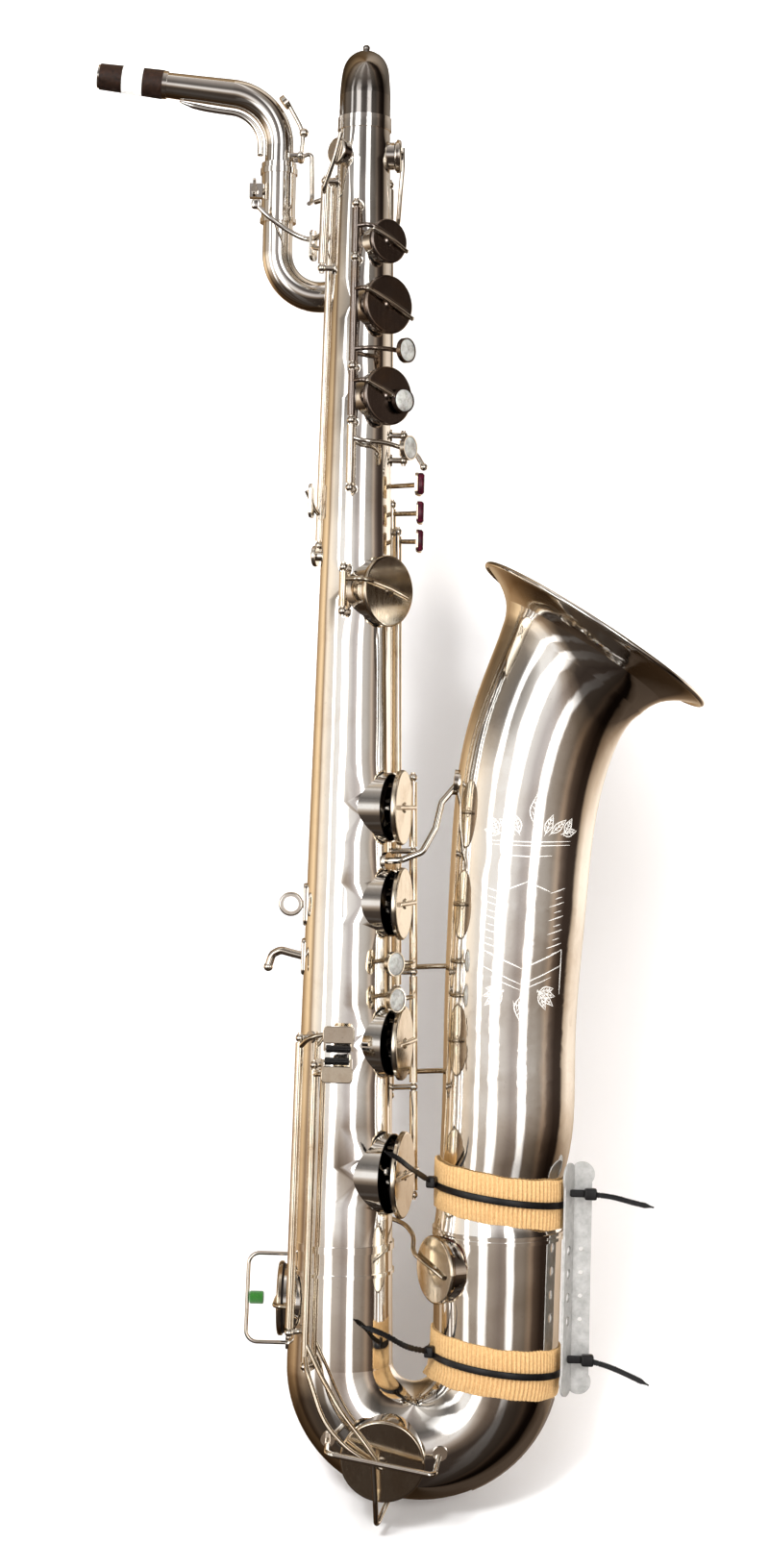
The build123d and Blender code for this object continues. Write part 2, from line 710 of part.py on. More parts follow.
def roller_touch(low, high, roller_z):
    """A touch plate between two heights, with ears that carry a roller's pin beside it."""
    middle = Vector(touch_x, touch_y, (low + high) / 2)
    shape = plate(middle, (0, -1, 0), (0, 0, 1), touch_width, high - low, 2.0, 3.0)
    edge = low if roller_z < low else high
    inner = edge + (2.5 if roller_z < low else -2.5)
    for side in (-1, 1):
        x = touch_x + side * (roller_length / 2 + 1.2)
        ear = Pos(x, touch_y - 1.2, (inner + roller_z) / 2) * Box(1.6, 3.0, abs(inner - roller_z) + 3.0)
        shape += ear
    pin_start = Vector(touch_x - roller_length / 2 - 1.2, touch_y - 1.2, roller_z)
    pin_end = Vector(touch_x + roller_length / 2 + 1.2, touch_y - 1.2, roller_z)
    return shape + bar(pin_start, pin_end, roller_pin)


def roller(z):
    start = Vector(touch_x - roller_length / 2, touch_y - 1.2, z)
    end = start + Vector(roller_length, 0, 0)
    barrel = bar(start, end, roller_radius)
    barrel = fillet(barrel.edges(), 0.7)
    return barrel - bar(start - Vector(1, 0, 0), end + Vector(1, 0, 0), roller_pin + running_gap)


def eflat_key():
    frame = hole_frame(eflat_hole)
    shape = cup_shell(frame, eflat_hole["cup"]) + cup_arm(frame, eflat_hole, eflat)
    shape += roller_touch(143.6, 155.6, eflat_roller_height)
    touch_root = Vector(-12.0, touch_y - 0.2, 150.0)
    shape += arm([on_rod(eflat_rod, 138.5), Vector(-25.0, -39.0, 147.0), touch_root])
    return with_tube(shape, eflat)


def eflat_pad():
    return pad_disc(hole_frame(eflat_hole), eflat_hole["cup"])


def low_c_key():
    frame = low_c_frame()
    top = pad_gap + cup_depth + 1.0
    shape = cup_shell(frame, low_c_hole["cup"])
    outer_arm = [on_rod(low_c_rod, -73.0), Vector(-21.5, -45.5, -82.0), Vector(-9.0, -50.5, -116.0)]
    outer_arm += [Vector(8.0, -52.5, -134.0), frame.from_local_coords((0, -4.0, top))]
    inner_arm = [on_rod(low_c_rod, -64.0), Vector(-11.0, -46.0, -86.0), Vector(4.0, -51.0, -110.0)]
    inner_arm += [frame.from_local_coords((-12.0, 14.0, top + 0.4)), frame.from_local_coords((0, -4.0, top))]
    shape += arm(outer_arm)
    shape += arm(inner_arm)
    shape += roller_touch(116.4, 128.0, low_c_roller_height)
    touch_root = Vector(-12.0, touch_y - 0.2, 122.0)
    shape += arm([on_rod(low_c_rod, 120.5), Vector(-17.5, -41.5, 122.0), touch_root])
    return with_tube(shape, low_c)


def low_c_pad():
    return pad_disc(low_c_frame(), low_c_hole["cup"]).rotate(rod_axis(low_c_rod), low_c["rest"])


def low_c_roller():
    return roller(low_c_roller_height).rotate(rod_axis(low_c_rod), low_c["rest"])


def octave_thumb_lever():
    """The thumb's octave lever: a long tube up to a finger that pushes the neck key's loop."""
    shape = plate(near_body(523, -100, 8.0), facing(-100), (0, 0, 1), 12.0, 24.0, 2.4, 4.0)
    shape += arm([on_rod(octave_rod, 514), near_body(518, -112, 9.0), near_body(523, -100, 9.2)])
    shape += arm([near_body(523, -100, 9.2), near_body(530, -96, 12.5)], 1.5)
    shape += arm([on_rod(octave_rod, 741), in_receiver(35, -20, 742), in_receiver(27.2, -8.5, 742)])
    return with_tube(shape, octave)


def palm_d_key():
    hole = body_holes["palm_d"]
    frame = hole_frame(hole)
    shape = cup_shell(frame, hole["cup"]) + cup_arm(frame, hole, palm_d)
    shape += plate(near_body(706, -112, 17.0), facing(-112), (0, 0, 1), 10.0, 22.0, 2.4, 4.0)
    shape += arm([on_rod(palm_rod, 700), near_body(703, -100, 16.5), near_body(706, -112, 18.0)])
    shape += pad_disc(frame, hole["cup"])
    return with_tube(shape, palm_d)


def high_e_key():
    hole = body_holes["high_e"]
    frame = hole_frame(hole)
    top = pad_gap + cup_depth + 1.0
    shape = cup_shell(frame, hole["cup"]) + pad_disc(frame, hole["cup"])
    shape += arm([on_rod(high_e_rod, 716), near_body(718, 104, 6.0), near_body(745, 90, 7.5),
                  frame.from_local_coords((0, -8.0, top)), frame.from_local_coords((0, 6.0, top - 0.4))])
    shape += plate(near_body(628, 165, 9.0), facing(165), (0, 0, 1), 11.0, 24.0, 2.4, 4.0)
    shape += arm([on_rod(high_e_rod, 622), near_body(625, 150, 9.5), near_body(628, 165, 10.2)])
    return with_tube(shape, high_e)


def gsharp_lever():
    tube = {"rod": gsharp_lever_rod, "tube": gsharp_lever_tube}
    end = Vector(46.5, -7.0, 547.0)
    shape = arm([on_rod(gsharp_lever_rod, 561), Vector(41.0, -2.0, 557.0), end]) + ball(end, 2.6)
    return with_tube(shape, tube)


def wire(points, radius, bend):
    """A bent wire with an even bend at every corner."""
    path = FilletPolyline(*points, radius=bend)
    return sweep(Plane(origin=path @ 0, z_dir=path % 0) * Circle(radius), path)


# posts stand midway between neighbouring hinge tubes and just past the end ones
post_heights = [
    (upper_rod, (528.7, 575.7, 613.7, 689.7, 727.3)),
    (lower_rod, (30.7, 107.7, 189.7, 275.7, 328.3)),
    (gsharp_rod, (442.7, 473.3)),
    (eflat_rod, (-59.3, 145.3)),
    (low_c_rod, (-81.3, 127.3)),
    (low_bflat_rod, (176.7, 503.3)),
    (low_b_rod, (99.7, 523.3)),
    (low_csharp_rod, (5.7, 543.3)),
    (octave_rod, (492.7, 751.3)),
    (palm_rod, (686.7, 748.3)),
    (high_e_rod, (608.7, 751.3)),
    (gsharp_lever_rod, (552.2, 569.8)),
]


def key_posts():
    posts = []
    for rod, heights in post_heights:
        for z in heights:
            shape = post(rod, z)
            if rod is lower_rod:
                for name in ("d", "f_sharp"):
                    shape -= chimney(hole_frame(body_holes[name]), body_holes[name]["cup"])
            posts.append(shape)
    return Compound(children=posts)


def pivot_rods():
    rods = []
    for rod, heights in post_heights:
        low = on_rod(rod, heights[0] - 3.6)
        high = on_rod(rod, heights[-1] + 3.6)
        rods.append(bar(low, high, rod_radius))
    return Compound(children=rods)


strap_ring_hole = 5.5
strap_ring_wall = 5.2
strap_ring_lift = 10.8        # from the body wall to the middle of the eyelet


def strap_ring_centre():
    return near_body(strap_ring_height, strap_ring_angle, strap_ring_lift)


def strap_ring():
    """An eyelet on a foot; its hole runs from the player to the front."""
    centre = strap_ring_centre()
    eyelet = Plane(origin=centre, z_dir=(0, 1, 0)) * Cylinder(strap_ring_hole + 3.0, strap_ring_wall)
    eyelet = fillet(eyelet.edges(), 1.2)
    wall_point = near_body(strap_ring_height, strap_ring_angle, 0.4)
    normal = facing(strap_ring_angle)
    foot = plate(wall_point - normal * 1.5, normal, (0, 0, 1), 9.0, 30.0, 3.0, 4.0)
    shape = eyelet + foot + bar(wall_point, centre + Vector(4, 0, 0), strap_ring_wall / 2 - 0.1)
    shape -= Plane(origin=centre, z_dir=(0, 1, 0)) * Cylinder(strap_ring_hole, 12.0)
    return shape - body_cone()


def thumb_hook():
    height = 200.0
    angle = -96.0
    foot = plate(near_body(height, angle, -1.5), facing(angle), (0, 0, 1), 12.0, 26.0, 3.2, 4.0)
    points = [near_body(height, angle, 0), near_body(height + 2, angle, 9)]
    points += [near_body(height + 4, angle, 17), near_body(height + 1, angle, 23)]
    points.append(near_body(height - 8, angle, 25.5))
    hook = wire(points, 2.8, 6.0)
    return foot + hook + ball(points[-1], 3.3) - body_cone()


def thumb_rest():
    spot = near_body(484.0, -104, -1.0)
    normal = facing(-104)
    shape = disc(spot, normal, 3.5, 5.0) + fillet(disc(spot + normal * 4.5, normal, 7.5, 3.2).edges(), 1.2)
    return shape - body_cone()


def bell_brace():
    """A bent stay from the body to the bell, with a round foot on each."""
    start = near_body(269.0, 62, -2.0)
    points = [start, Vector(36, -16, 270), Vector(51, -13, 276), Vector(60, -9, 293), Vector(64, -5, 311),
              Vector(74, -1, 323)]
    shape = wire(points, 2.3, 7.0)
    shape += disc(start, facing(62), 6.5, 3.6)
    shape += disc(Vector(78.0, 0, 325), Vector(-1, 0, 0.1), 9.0, 5.6)
    return shape - body_cone() - tube_through(bell_sections())


def eflat_guard():
    def place(z, lift):
        return near_body(z, eflat_hole["angle"], lift)
    out = 30.0
    points = [place(-10.5, -3), place(-10.5, out), place(-73.5, out), place(-73.5, -3)]
    shape = wire(points, 1.35, 8.0)
    for z in (-10.5, -73.5):
        shape += disc(place(z, -2), facing(eflat_hole["angle"]), 4.5, 3.4)
    return shape - body_cone()


def felt_bumper():
    outer = near_body(-42.0, eflat_hole["angle"], 28.4)
    return fillet(disc(outer, -facing(eflat_hole["angle"]), 4.6, 10.0).edges(), 1.2)


def low_c_guard():
    """A bar across the low C cup with two feet, and a leg round the bottom of the bow."""
    front = -64.0
    across_cup = [Vector(-6.8, -26, -132), Vector(-6.8, front, -134)]
    across_cup += [Vector(67, front, -147.5), Vector(71, -38, -138)]
    leg = [Vector(25, front, -140), Vector(27, front + 8, -168)]
    leg += [Vector(28, -40, -190), Vector(37, -18, -176)]
    shape = wire(across_cup, 2.0, 5.0) + wire(leg, 1.8, 6.0)
    shape += disc(Vector(-6.8, -29, -132), Vector(0, -1, 0), 5.0, 6.0)
    shape += disc(Vector(71, -38, -138), Vector(0, -1, 0), 5.0, 6.0)
    return shape - bow_solid()


def bow_guard_strip():
    """A narrow strip bent round the outside of the bow."""
    skin = bow_solid(-1.4) - bow_solid()
    slot = Pos(100, 0, -150) * Box(150, 8.0, 84)
    bend = Vector(bow_bend_radius, 0, bow_leg_bottom)
    inside = Plane(origin=bend, z_dir=(0, 1, 0)) * Cylinder(bow_bend_radius, 40)
    start = Plane(origin=bend, x_dir=(0, 1, 0), z_dir=(1, 0, 0.45))
    keep = start * Pos(0, 0, 100) * Box(200, 400, 200)
    return (skin & slot & keep) - inside


# display fittings: card wraps, cable ties and a perforated angle bracket
wrap_width = 35.0
wrap_thickness = 2.4
wrap_lean = 7.0
upper_wrap_height = 37.0
lower_wrap_height = -82.0
tie_width = 5.4
tie_thickness = 1.4
fitting_axis_x = 112.0


def bell_leg(grow):
    """The bell leg's outer shape, grown outwards, over the stretch that the wraps cover."""
    lower = bow_end_cone(-grow) + tube_through(bow_sections(), -grow)
    return lower + tube_through(bell_sections(), -grow)


def leaning_band(height, width, inner, outer):
    """A band between two growths of the bell leg, leaning with its left side higher."""
    lean = Rot(0, wrap_lean, 0)
    slab = Pos(fitting_axis_x, 0, height) * lean * Box(130, 130, width)
    return (outer & slab) - inner


def card_wraps():
    inner = bell_leg(0)
    outer = bell_leg(wrap_thickness)
    heights = (upper_wrap_height, lower_wrap_height)
    return Compound(children=[leaning_band(z, wrap_width, inner, outer) for z in heights])


def tie_strap(start, end):
    """A flat tail of a cable tie."""
    run = Vector(end) - Vector(start)
    side = run.cross(Vector(0, 0, 1)).normalized()
    flat = Plane(origin=start, x_dir=side, z_dir=run)
    return flat * Box(tie_thickness, tie_width * 0.8, run.length, align=on_base)


def cable_ties():
    inner = bell_leg(wrap_thickness)
    outer = bell_leg(wrap_thickness + tie_thickness)
    fittings = [
        (upper_wrap_height, Vector(62, -16, 45), Vector(47, -43, 58), Vector(28.5, -55, 71)),
        (lower_wrap_height, Vector(63, -16, -74), Vector(46, -34, -66), Vector(15, -46, -50)),
    ]
    ties = []
    for height, buckle, bend, tail_end in fittings:
        tie = leaning_band(height, tie_width, inner, outer)
        tie += Pos(buckle) * Rot(0, 0, -20) * Box(7.0, 7.5, 8.5)
        tie += tie_strap(buckle, bend)
        tie += tie_strap(bend - (tail_end - bend) * 0.03, tail_end)
        ties.append(tie)
    for z, drop in ((40.0, 8.0), (-76.0, 16.0)):
        head = Vector(173, -24, z)
        tie = Pos(head) * Box(9.0, 7.0, 8.5) + Pos(head + Vector(-8, 2, 0)) * Box(12.0, 3.0, tie_width)
        tie += tie_strap(head, head + Vector(44, -3, -drop))
        ties.append(tie)
    bracket = display_bracket()
    return Compound(children=[tie - bracket for tie in ties])


bracket_low = -102.0
bracket_high = 61.0
bracket_thickness = 1.6
bracket_distance = 50.2
bracket_hole = 3.4
bracket_hole_heights = (0.0, -16.5, -33.0, -49.5)
bracket_small_hole = 1.6


def bracket_flange(width, hole_radius):
    """A flange on the XY plane: long along Y, widened and rounded at both ends, holed down its middle."""
    length = bracket_high - bracket_low
    end = width * 0.62
    strip = Rectangle(width, length - 2 * end)
    outline = strip + Pos(0, length / 2 - end) * Circle(end) + Pos(0, -length / 2 + end) * Circle(end)
    middle = (bracket_high + bracket_low) / 2
    for z in bracket_hole_heights:
        outline -= Pos(0, z - middle) * Circle(hole_radius)
    return extrude(outline, bracket_thickness)


def display_bracket():
    middle = (bracket_high + bracket_low) / 2
    outward = Vector(cos(radians(25)), -sin(radians(25)), 0)
    along = Vector(sin(radians(25)), cos(radians(25)), 0)
    root = Vector(fitting_axis_x, 0, middle) + outward * bracket_distance
    inner = Plane(origin=root, x_dir=along, z_dir=outward)
    corner = root + along * 9.0
    fin = Plane(origin=corner + Vector(6.5, 0, 0), x_dir=(1, 0, 0), z_dir=(0, -1, 0))
    return inner * bracket_flange(17.0, bracket_hole) + fin * bracket_flange(14.0, bracket_small_hole)


nodes = {
    "body_tube": body_tube,
    "bow": bow,
    "bell": bell,
    "top_bow": top_bow,
    "crook_pipe": crook_pipe,
    "neck_receiver": neck_receiver,
    "tube_ferrules": tube_ferrules,
    "bow_guard_strip": bow_guard_strip,
    "bell_brace": bell_brace,
    "key_posts": key_posts,
    "pivot_rods": pivot_rods,
    "thumb_hook": thumb_hook,
    "thumb_rest": thumb_rest,
    "strap_ring": strap_ring,
    "eflat_guard": eflat_guard,
    "low_c_guard": low_c_guard,
    "felt_bumper": felt_bumper,
    "card_wraps": card_wraps,
    "cable_ties": cable_ties,
    "display_bracket": display_bracket,
    "clamp_screw": clamp_screw,
    "neck_tube": neck_tube,
    "neck_cork": neck_cork,
    "cork_tape": cork_tape,
    "neck_octave_key": neck_octave_key,
    "octave_thumb_lever": octave_thumb_lever,
    "g_touch": g_touch,
    "gsharp_lever": gsharp_lever,
    "low_csharp_key": low_csharp_key,
    "low_csharp_pad": low_csharp_pad,
    "low_b_key": lambda: bell_key(low_b_hole, low_b, 516.5, 515.0),
    "low_b_pad": lambda: bell_pad(low_b_hole, low_b),
    "low_bflat_key": lambda: bell_key(low_bflat_hole, low_bflat, 496.5, 495.0),
    "low_bflat_pad": lambda: bell_pad(low_bflat_hole, low_bflat),
    "eflat_key": eflat_key,
    "eflat_pad": eflat_pad,
    "eflat_roller": lambda: roller(eflat_roller_height),
    "low_c_key": low_c_key,
    "low_c_pad": low_c_pad,
    "low_c_roller": low_c_roller,
    "palm_d_key": palm_d_key,
    "high_e_key": high_e_key,
}
for name in stack_keys:
    nodes[name + "_key"] = lambda name=name: stack_key(name)
    nodes[name + "_pad"] = lambda name=name: stack_pad(name)

if __name__ == "__main__":
    os.makedirs("parts", exist_ok=True)
    origin = strap_ring_centre()
    for node, make in nodes.items():
        export_step(Pos(-origin) * make(), f"parts/{node}.step")
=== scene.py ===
import math

import bmesh
import bpy
import numpy as np
from mathutils import Matrix, Vector


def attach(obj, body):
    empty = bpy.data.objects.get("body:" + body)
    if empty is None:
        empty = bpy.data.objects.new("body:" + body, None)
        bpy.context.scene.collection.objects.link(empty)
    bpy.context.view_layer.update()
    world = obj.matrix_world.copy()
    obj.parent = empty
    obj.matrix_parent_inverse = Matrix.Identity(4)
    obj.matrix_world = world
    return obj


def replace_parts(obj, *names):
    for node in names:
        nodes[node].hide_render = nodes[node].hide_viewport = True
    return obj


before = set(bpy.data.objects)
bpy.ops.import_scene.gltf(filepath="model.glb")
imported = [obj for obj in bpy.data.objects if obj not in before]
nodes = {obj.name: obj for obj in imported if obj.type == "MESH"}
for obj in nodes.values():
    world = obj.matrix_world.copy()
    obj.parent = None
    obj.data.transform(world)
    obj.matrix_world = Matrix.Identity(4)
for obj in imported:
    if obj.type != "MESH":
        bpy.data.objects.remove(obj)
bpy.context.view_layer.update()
print("frame loaded,", len(nodes), "nodes")

mm = 0.001
# the foot of the body tube's axis, measured from the strap ring's centre, which is the frame's origin
bodyFoot = np.array([41.05, 0.0, -237.0])


def fromFoot(points):
    # millimetres from the foot of the body's axis, turned to metres in the frame
    return (np.asarray(points, float) + bodyFoot) * mm


def linearColour(hexCode):
    # sRGB hex to linear light: a short straight part near black, then a power of 2.4
    channels = np.array([int(hexCode[i:i + 2], 16) for i in (0, 2, 4)]) / 255
    linear = np.where(channels <= 0.04045, channels / 12.92, ((channels + 0.055) / 1.055) ** 2.4)
    return (*linear.tolist(), 1.0)


def addNode(tree, kind, inputs=None, stops=None, **settings):
    # one node with its settings; an input is a value, a hex colour or another node's socket
    node = tree.nodes.new(kind)
    for name, value in settings.items():
        setattr(node, name, value)
    for socket, value in (inputs or {}).items():
        if isinstance(value, bpy.types.NodeSocket):
            tree.links.new(value, node.inputs[socket])
        elif isinstance(value, str):
            node.inputs[socket].default_value = linearColour(value)
        else:
            node.inputs[socket].default_value = value
    if stops:
        elements = node.color_ramp.elements
        while len(elements) < len(stops):
            elements.new(1.0)
        for element, (position, hexCode) in zip(elements, stops):
            element.position = position
            element.color = linearColour(hexCode)
    return node


def newMaterial(name):
    material = bpy.data.materials.new(name)
    material.use_nodes = True
    tree = material.node_tree
    return material, tree, tree.nodes["Principled BSDF"]


def perMetre(sizeMm):
    # noise scale for a pattern whose cells are about this many millimetres
    return 1000.0 / sizeMm


silverLook = {
    "tarnish": "B08A55",
    "oxide": "5A4634",
    "bloomMm": 38.0,      # size of the warm tarnished patches
    "speckMm": 2.6,       # size of the small dark freckles
    "scratchMm": 1.3,     # drawn coarser than real hairlines so that they show
    "dentMm": 48.0,
}


def silverPlate(name, metal="FBF9F5", tarnish=0.2, roughness=0.07, oxide=0.15):
    # Silver plate over brass, polished long ago and handled since: a bright mirror whose edges go
    # yellow-brown, with freckles of oxide and hairlines that spread its highlights a little.
    material, tree, shader = newMaterial(name)
    place = addNode(tree, "ShaderNodeTexCoord")
    bloom = addNode(tree, "ShaderNodeTexNoise", {
        "Vector": place.outputs["Object"], "Scale": perMetre(silverLook["bloomMm"]),
        "Detail": 5.0, "Roughness": 0.62, "Distortion": 0.6})
    bloomRange = addNode(tree, "ShaderNodeMapRange", {
        "Value": bloom.outputs["Fac"], "From Min": 0.48, "From Max": 0.75, "To Max": tarnish})
    speck = addNode(tree, "ShaderNodeTexNoise", {
        "Vector": place.outputs["Object"], "Scale": perMetre(silverLook["speckMm"]),
        "Detail": 4.0, "Roughness": 0.7})
    speckRange = addNode(tree, "ShaderNodeMapRange", {
        "Value": speck.outputs["Fac"], "From Min": 0.6, "From Max": 0.78, "To Max": oxide})
    warm = addNode(tree, "ShaderNodeMix", {
        "Factor": bloomRange.outputs[0], "A": metal, "B": silverLook["tarnish"]}, data_type="RGBA")
    freckled = addNode(tree, "ShaderNodeMix", {
        "Factor": speckRange.outputs[0], "A": warm.outputs["Result"], "B": silverLook["oxide"]},
        data_type="RGBA")
    stretch = addNode(tree, "ShaderNodeMapping", {
        "Vector": place.outputs["Object"], "Scale": (1.0, 1.0, 0.12)})
    hairline = addNode(tree, "ShaderNodeTexNoise", {
        "Vector": stretch.outputs["Vector"], "Scale": perMetre(silverLook["scratchMm"]),
        "Detail": 3.0, "Roughness": 0.8})
    gloss = addNode(tree, "ShaderNodeMapRange", {
        "Value": hairline.outputs["Fac"], "From Min": 0.35, "From Max": 0.75,
        "To Min": roughness * 0.6, "To Max": roughness * 1.6})
    dulled = addNode(tree, "ShaderNodeMath", {
        0: bloomRange.outputs[0], 1: 0.12, 2: gloss.outputs[0]}, operation="MULTIPLY_ADD")
    dent = addNode(tree, "ShaderNodeTexNoise", {
        "Vector": place.outputs["Object"], "Scale": perMetre(silverLook["dentMm"]), "Detail": 1.0})
    dentBump = addNode(tree, "ShaderNodeBump", {
        "Height": dent.outputs["Fac"], "Strength": 0.3, "Distance": 0.0016})
    scratchBump = addNode(tree, "ShaderNodeBump", {
        "Height": hairline.outputs["Fac"], "Strength": 0.02, "Distance": 0.0002,
        "Normal": dentBump.outputs["Normal"]})
    tree.links.new(freckled.outputs["Result"], shader.inputs["Base Color"])
    tree.links.new(dulled.outputs[0], shader.inputs["Roughness"])
    tree.links.new(scratchBump.outputs["Normal"], shader.inputs["Normal"])
    shader.inputs["Metallic"].default_value = 1.0
    return material


def plainNoiseMaterial(name, dark, light, cellMm, roughness, bump, **sockets):
    # the common build of the non-metals: two colours through one noise, and bump from the same noise
    material, tree, shader = newMaterial(name)
    place = addNode(tree, "ShaderNodeTexCoord")
    grain = addNode(tree, "ShaderNodeTexNoise", {
        "Vector": place.outputs["Object"], "Scale": perMetre(cellMm), "Detail": 6.0, "Roughness": 0.65})
    colour = addNode(tree, "ShaderNodeValToRGB", {"Fac": grain.outputs["Fac"]},
                     stops=[(0.3, dark), (0.7, light)])
    spread = addNode(tree, "ShaderNodeMapRange", {
        "Value": grain.outputs["Fac"], "From Min": 0.3, "From Max": 0.7,
        "To Min": roughness * 0.85, "To Max": min(1.0, roughness * 1.15)})
    relief = addNode(tree, "ShaderNodeBump", {
        "Height": grain.outputs["Fac"], "Strength": bump, "Distance": cellMm * mm * 0.4})
    tree.links.new(colour.outputs["Color"], shader.inputs["Base Color"])
    tree.links.new(spread.outputs[0], shader.inputs["Roughness"])
    tree.links.new(relief.outputs["Normal"], shader.inputs["Normal"])
    for socket, value in sockets.items():
        shader.inputs[socket.replace("_", " ")].default_value = value
    return material


# main tubes: the cleanest plate, nearly white between the blooms
bodySilver = silverPlate("silverPlatedTube")
# keywork and posts, fingered and less polished: warmer and a little rougher
keySilver = silverPlate("silverPlatedKeywork", metal="F6F0E6", tarnish=0.35, roughness=0.1, oxide=0.3)
# lower cups, worn towards the brass: golden
cupSilver = silverPlate("silverPlatedCup", metal="EDE2CF", tarnish=0.6, roughness=0.12, oxide=0.35)
# cup tops: the plate's colour is taken down to brown-black, painted reflection standing in for the dark
# surroundings these cups face; blooms and freckles as on the other silver
darkCupSilver = silverPlate("paintedReflectionCupSilver", metal="9A8F88", tarnish=0.5, roughness=0.16, oxide=0.6)
# the top bow: its plate's colour is greyed down, painted reflection of the darker surroundings above it, with
# heavier oxide freckles
topSilver = silverPlate("paintedReflectionBowSilver", metal="A09C98", tarnish=0.15, roughness=0.09, oxide=0.5)
# neck and crook, wiped most often: the sharpest mirror
neckSilver = silverPlate("silverPlatedNeck", tarnish=0.15, roughness=0.06)
# kid leather pads, oiled and darkened: matt black-brown with fine pores
padLeather = plainNoiseMaterial("padLeather", "0E0B0A", "1D1613", 0.9, 0.55, 0.25)
# one pad's edge shows red-brown leather
redPadLeather = plainNoiseMaterial("redPadLeather", "3A0F0A", "5E1D14", 0.9, 0.5, 0.25)
# turned black celluloid: a hard gloss with a few fine wear marks
rollerCelluloid = plainNoiseMaterial("blackCelluloid", "060606", "121212", 2.5, 0.16, 0.05,
                                     Coat_Weight=0.6, Coat_Roughness=0.08)
# turned dark red celluloid: the same gloss, with a depth of colour where light passes its edge
redCelluloid = plainNoiseMaterial("oxbloodCelluloid", "12030A", "4A1020", 4.0, 0.15, 0.05)
# sheet cork rubbed with grease: dark brown lenticels, slightly shiny
greasedCork = plainNoiseMaterial("greasedCork", "0A0402", "2E1A0F", 2.2, 0.48, 0.6)
# thread-seal tape: bright matt white, its folds drawn by a long soft noise; the noise greys it where its bump
# sinks, painted shade in the folds
sealTape = plainNoiseMaterial("sealTape", "CFCFCC", "F6F6F4", 4.5, 0.62, 0.9)
# pressed wool felt, dyed green: fully matt, with a soft fibre sheen at its edges
greenFelt = plainNoiseMaterial("greenFelt", "0F3A0C", "2E7A22", 0.8, 0.95, 0.9,
                               Sheen_Weight=0.5, Sheen_Roughness=0.5)
# kraft card: light fawn fibre with faint flecks
kraftCard = plainNoiseMaterial("kraftCard", "B58E5C", "D2B07E", 1.4, 0.88, 0.3)
# moulded nylon: nearly black with a soft sheen along its edges
tieNylon = plainNoiseMaterial("blackNylon", "050506", "101012", 1.6, 0.38, 0.08)
# mother of pearl: grey-white nacre whose clouds shift from warm to cool, under a smooth polish
shellPearl = plainNoiseMaterial("motherOfPearl", "77726F", "C4C0BB", 5.0, 0.2, 0.08,
                                Coat_Weight=0.5, Coat_Roughness=0.06, Subsurface_Weight=0.15)
# needle springs: steel tempered blue-black, a thin bright line
bluedSteel = plainNoiseMaterial("bluedSpringSteel", "1B2230", "39435A", 4.0, 0.28, 0.02, Metallic=1.0)
# bright-cut lines: bare silver, scattering light because the cut's floor is rough
brightCut = plainNoiseMaterial("brightCutSilver", "EDE8DE", "FFFFFF", 1.2, 0.5, 0.3, Metallic=0.35)
# punched steel strip, zinc plated: pale grey and half matt, faintly clouded
zincSteel = plainNoiseMaterial("zincPlatedSteel", "A2A2A0", "C8C8C6", 6.0, 0.42, 0.06, Metallic=0.4)

finishes = {
    bodySilver: ["body_tube", "bow", "bell", "bow_guard_strip"],
    topSilver: ["top_bow"],
    neckSilver: ["crook_pipe", "neck_receiver", "neck_tube", "tube_ferrules"],
    keySilver: ["bell_brace", "key_posts", "pivot_rods", "thumb_hook", "thumb_rest", "strap_ring",
                "eflat_guard", "low_c_guard", "clamp_screw", "neck_octave_key", "octave_thumb_lever",
                "g_touch", "gsharp_lever", "palm_d_key", "high_e_key"],
    cupSilver: ["low_csharp_key", "low_b_key", "low_bflat_key", "eflat_key", "low_c_key",
                "gsharp_key", "f_sharp_key", "f_key", "e_key", "d_key"],
    darkCupSilver: ["c_key", "b_key", "a_key"],
    padLeather: ["low_b_pad", "low_bflat_pad", "eflat_pad", "low_c_pad", "c_pad", "b_pad", "a_pad",
                 "gsharp_pad", "f_sharp_pad", "f_pad", "e_pad", "d_pad"],
    redPadLeather: ["low_csharp_pad"],
    rollerCelluloid: ["eflat_roller", "low_c_roller"],
    greasedCork: ["neck_cork"],
    sealTape: ["cork_tape"],
    greenFelt: ["felt_bumper"],
    kraftCard: ["card_wraps"],
    tieNylon: ["cable_ties"],
    zincSteel: ["display_bracket"],
}
for finish, names in finishes.items():
    for name in names:
        nodes[name].data.materials.clear()
        nodes[name].data.materials.append(finish)
print("materials on", sum(len(names) for names in finishes.values()), "nodes")


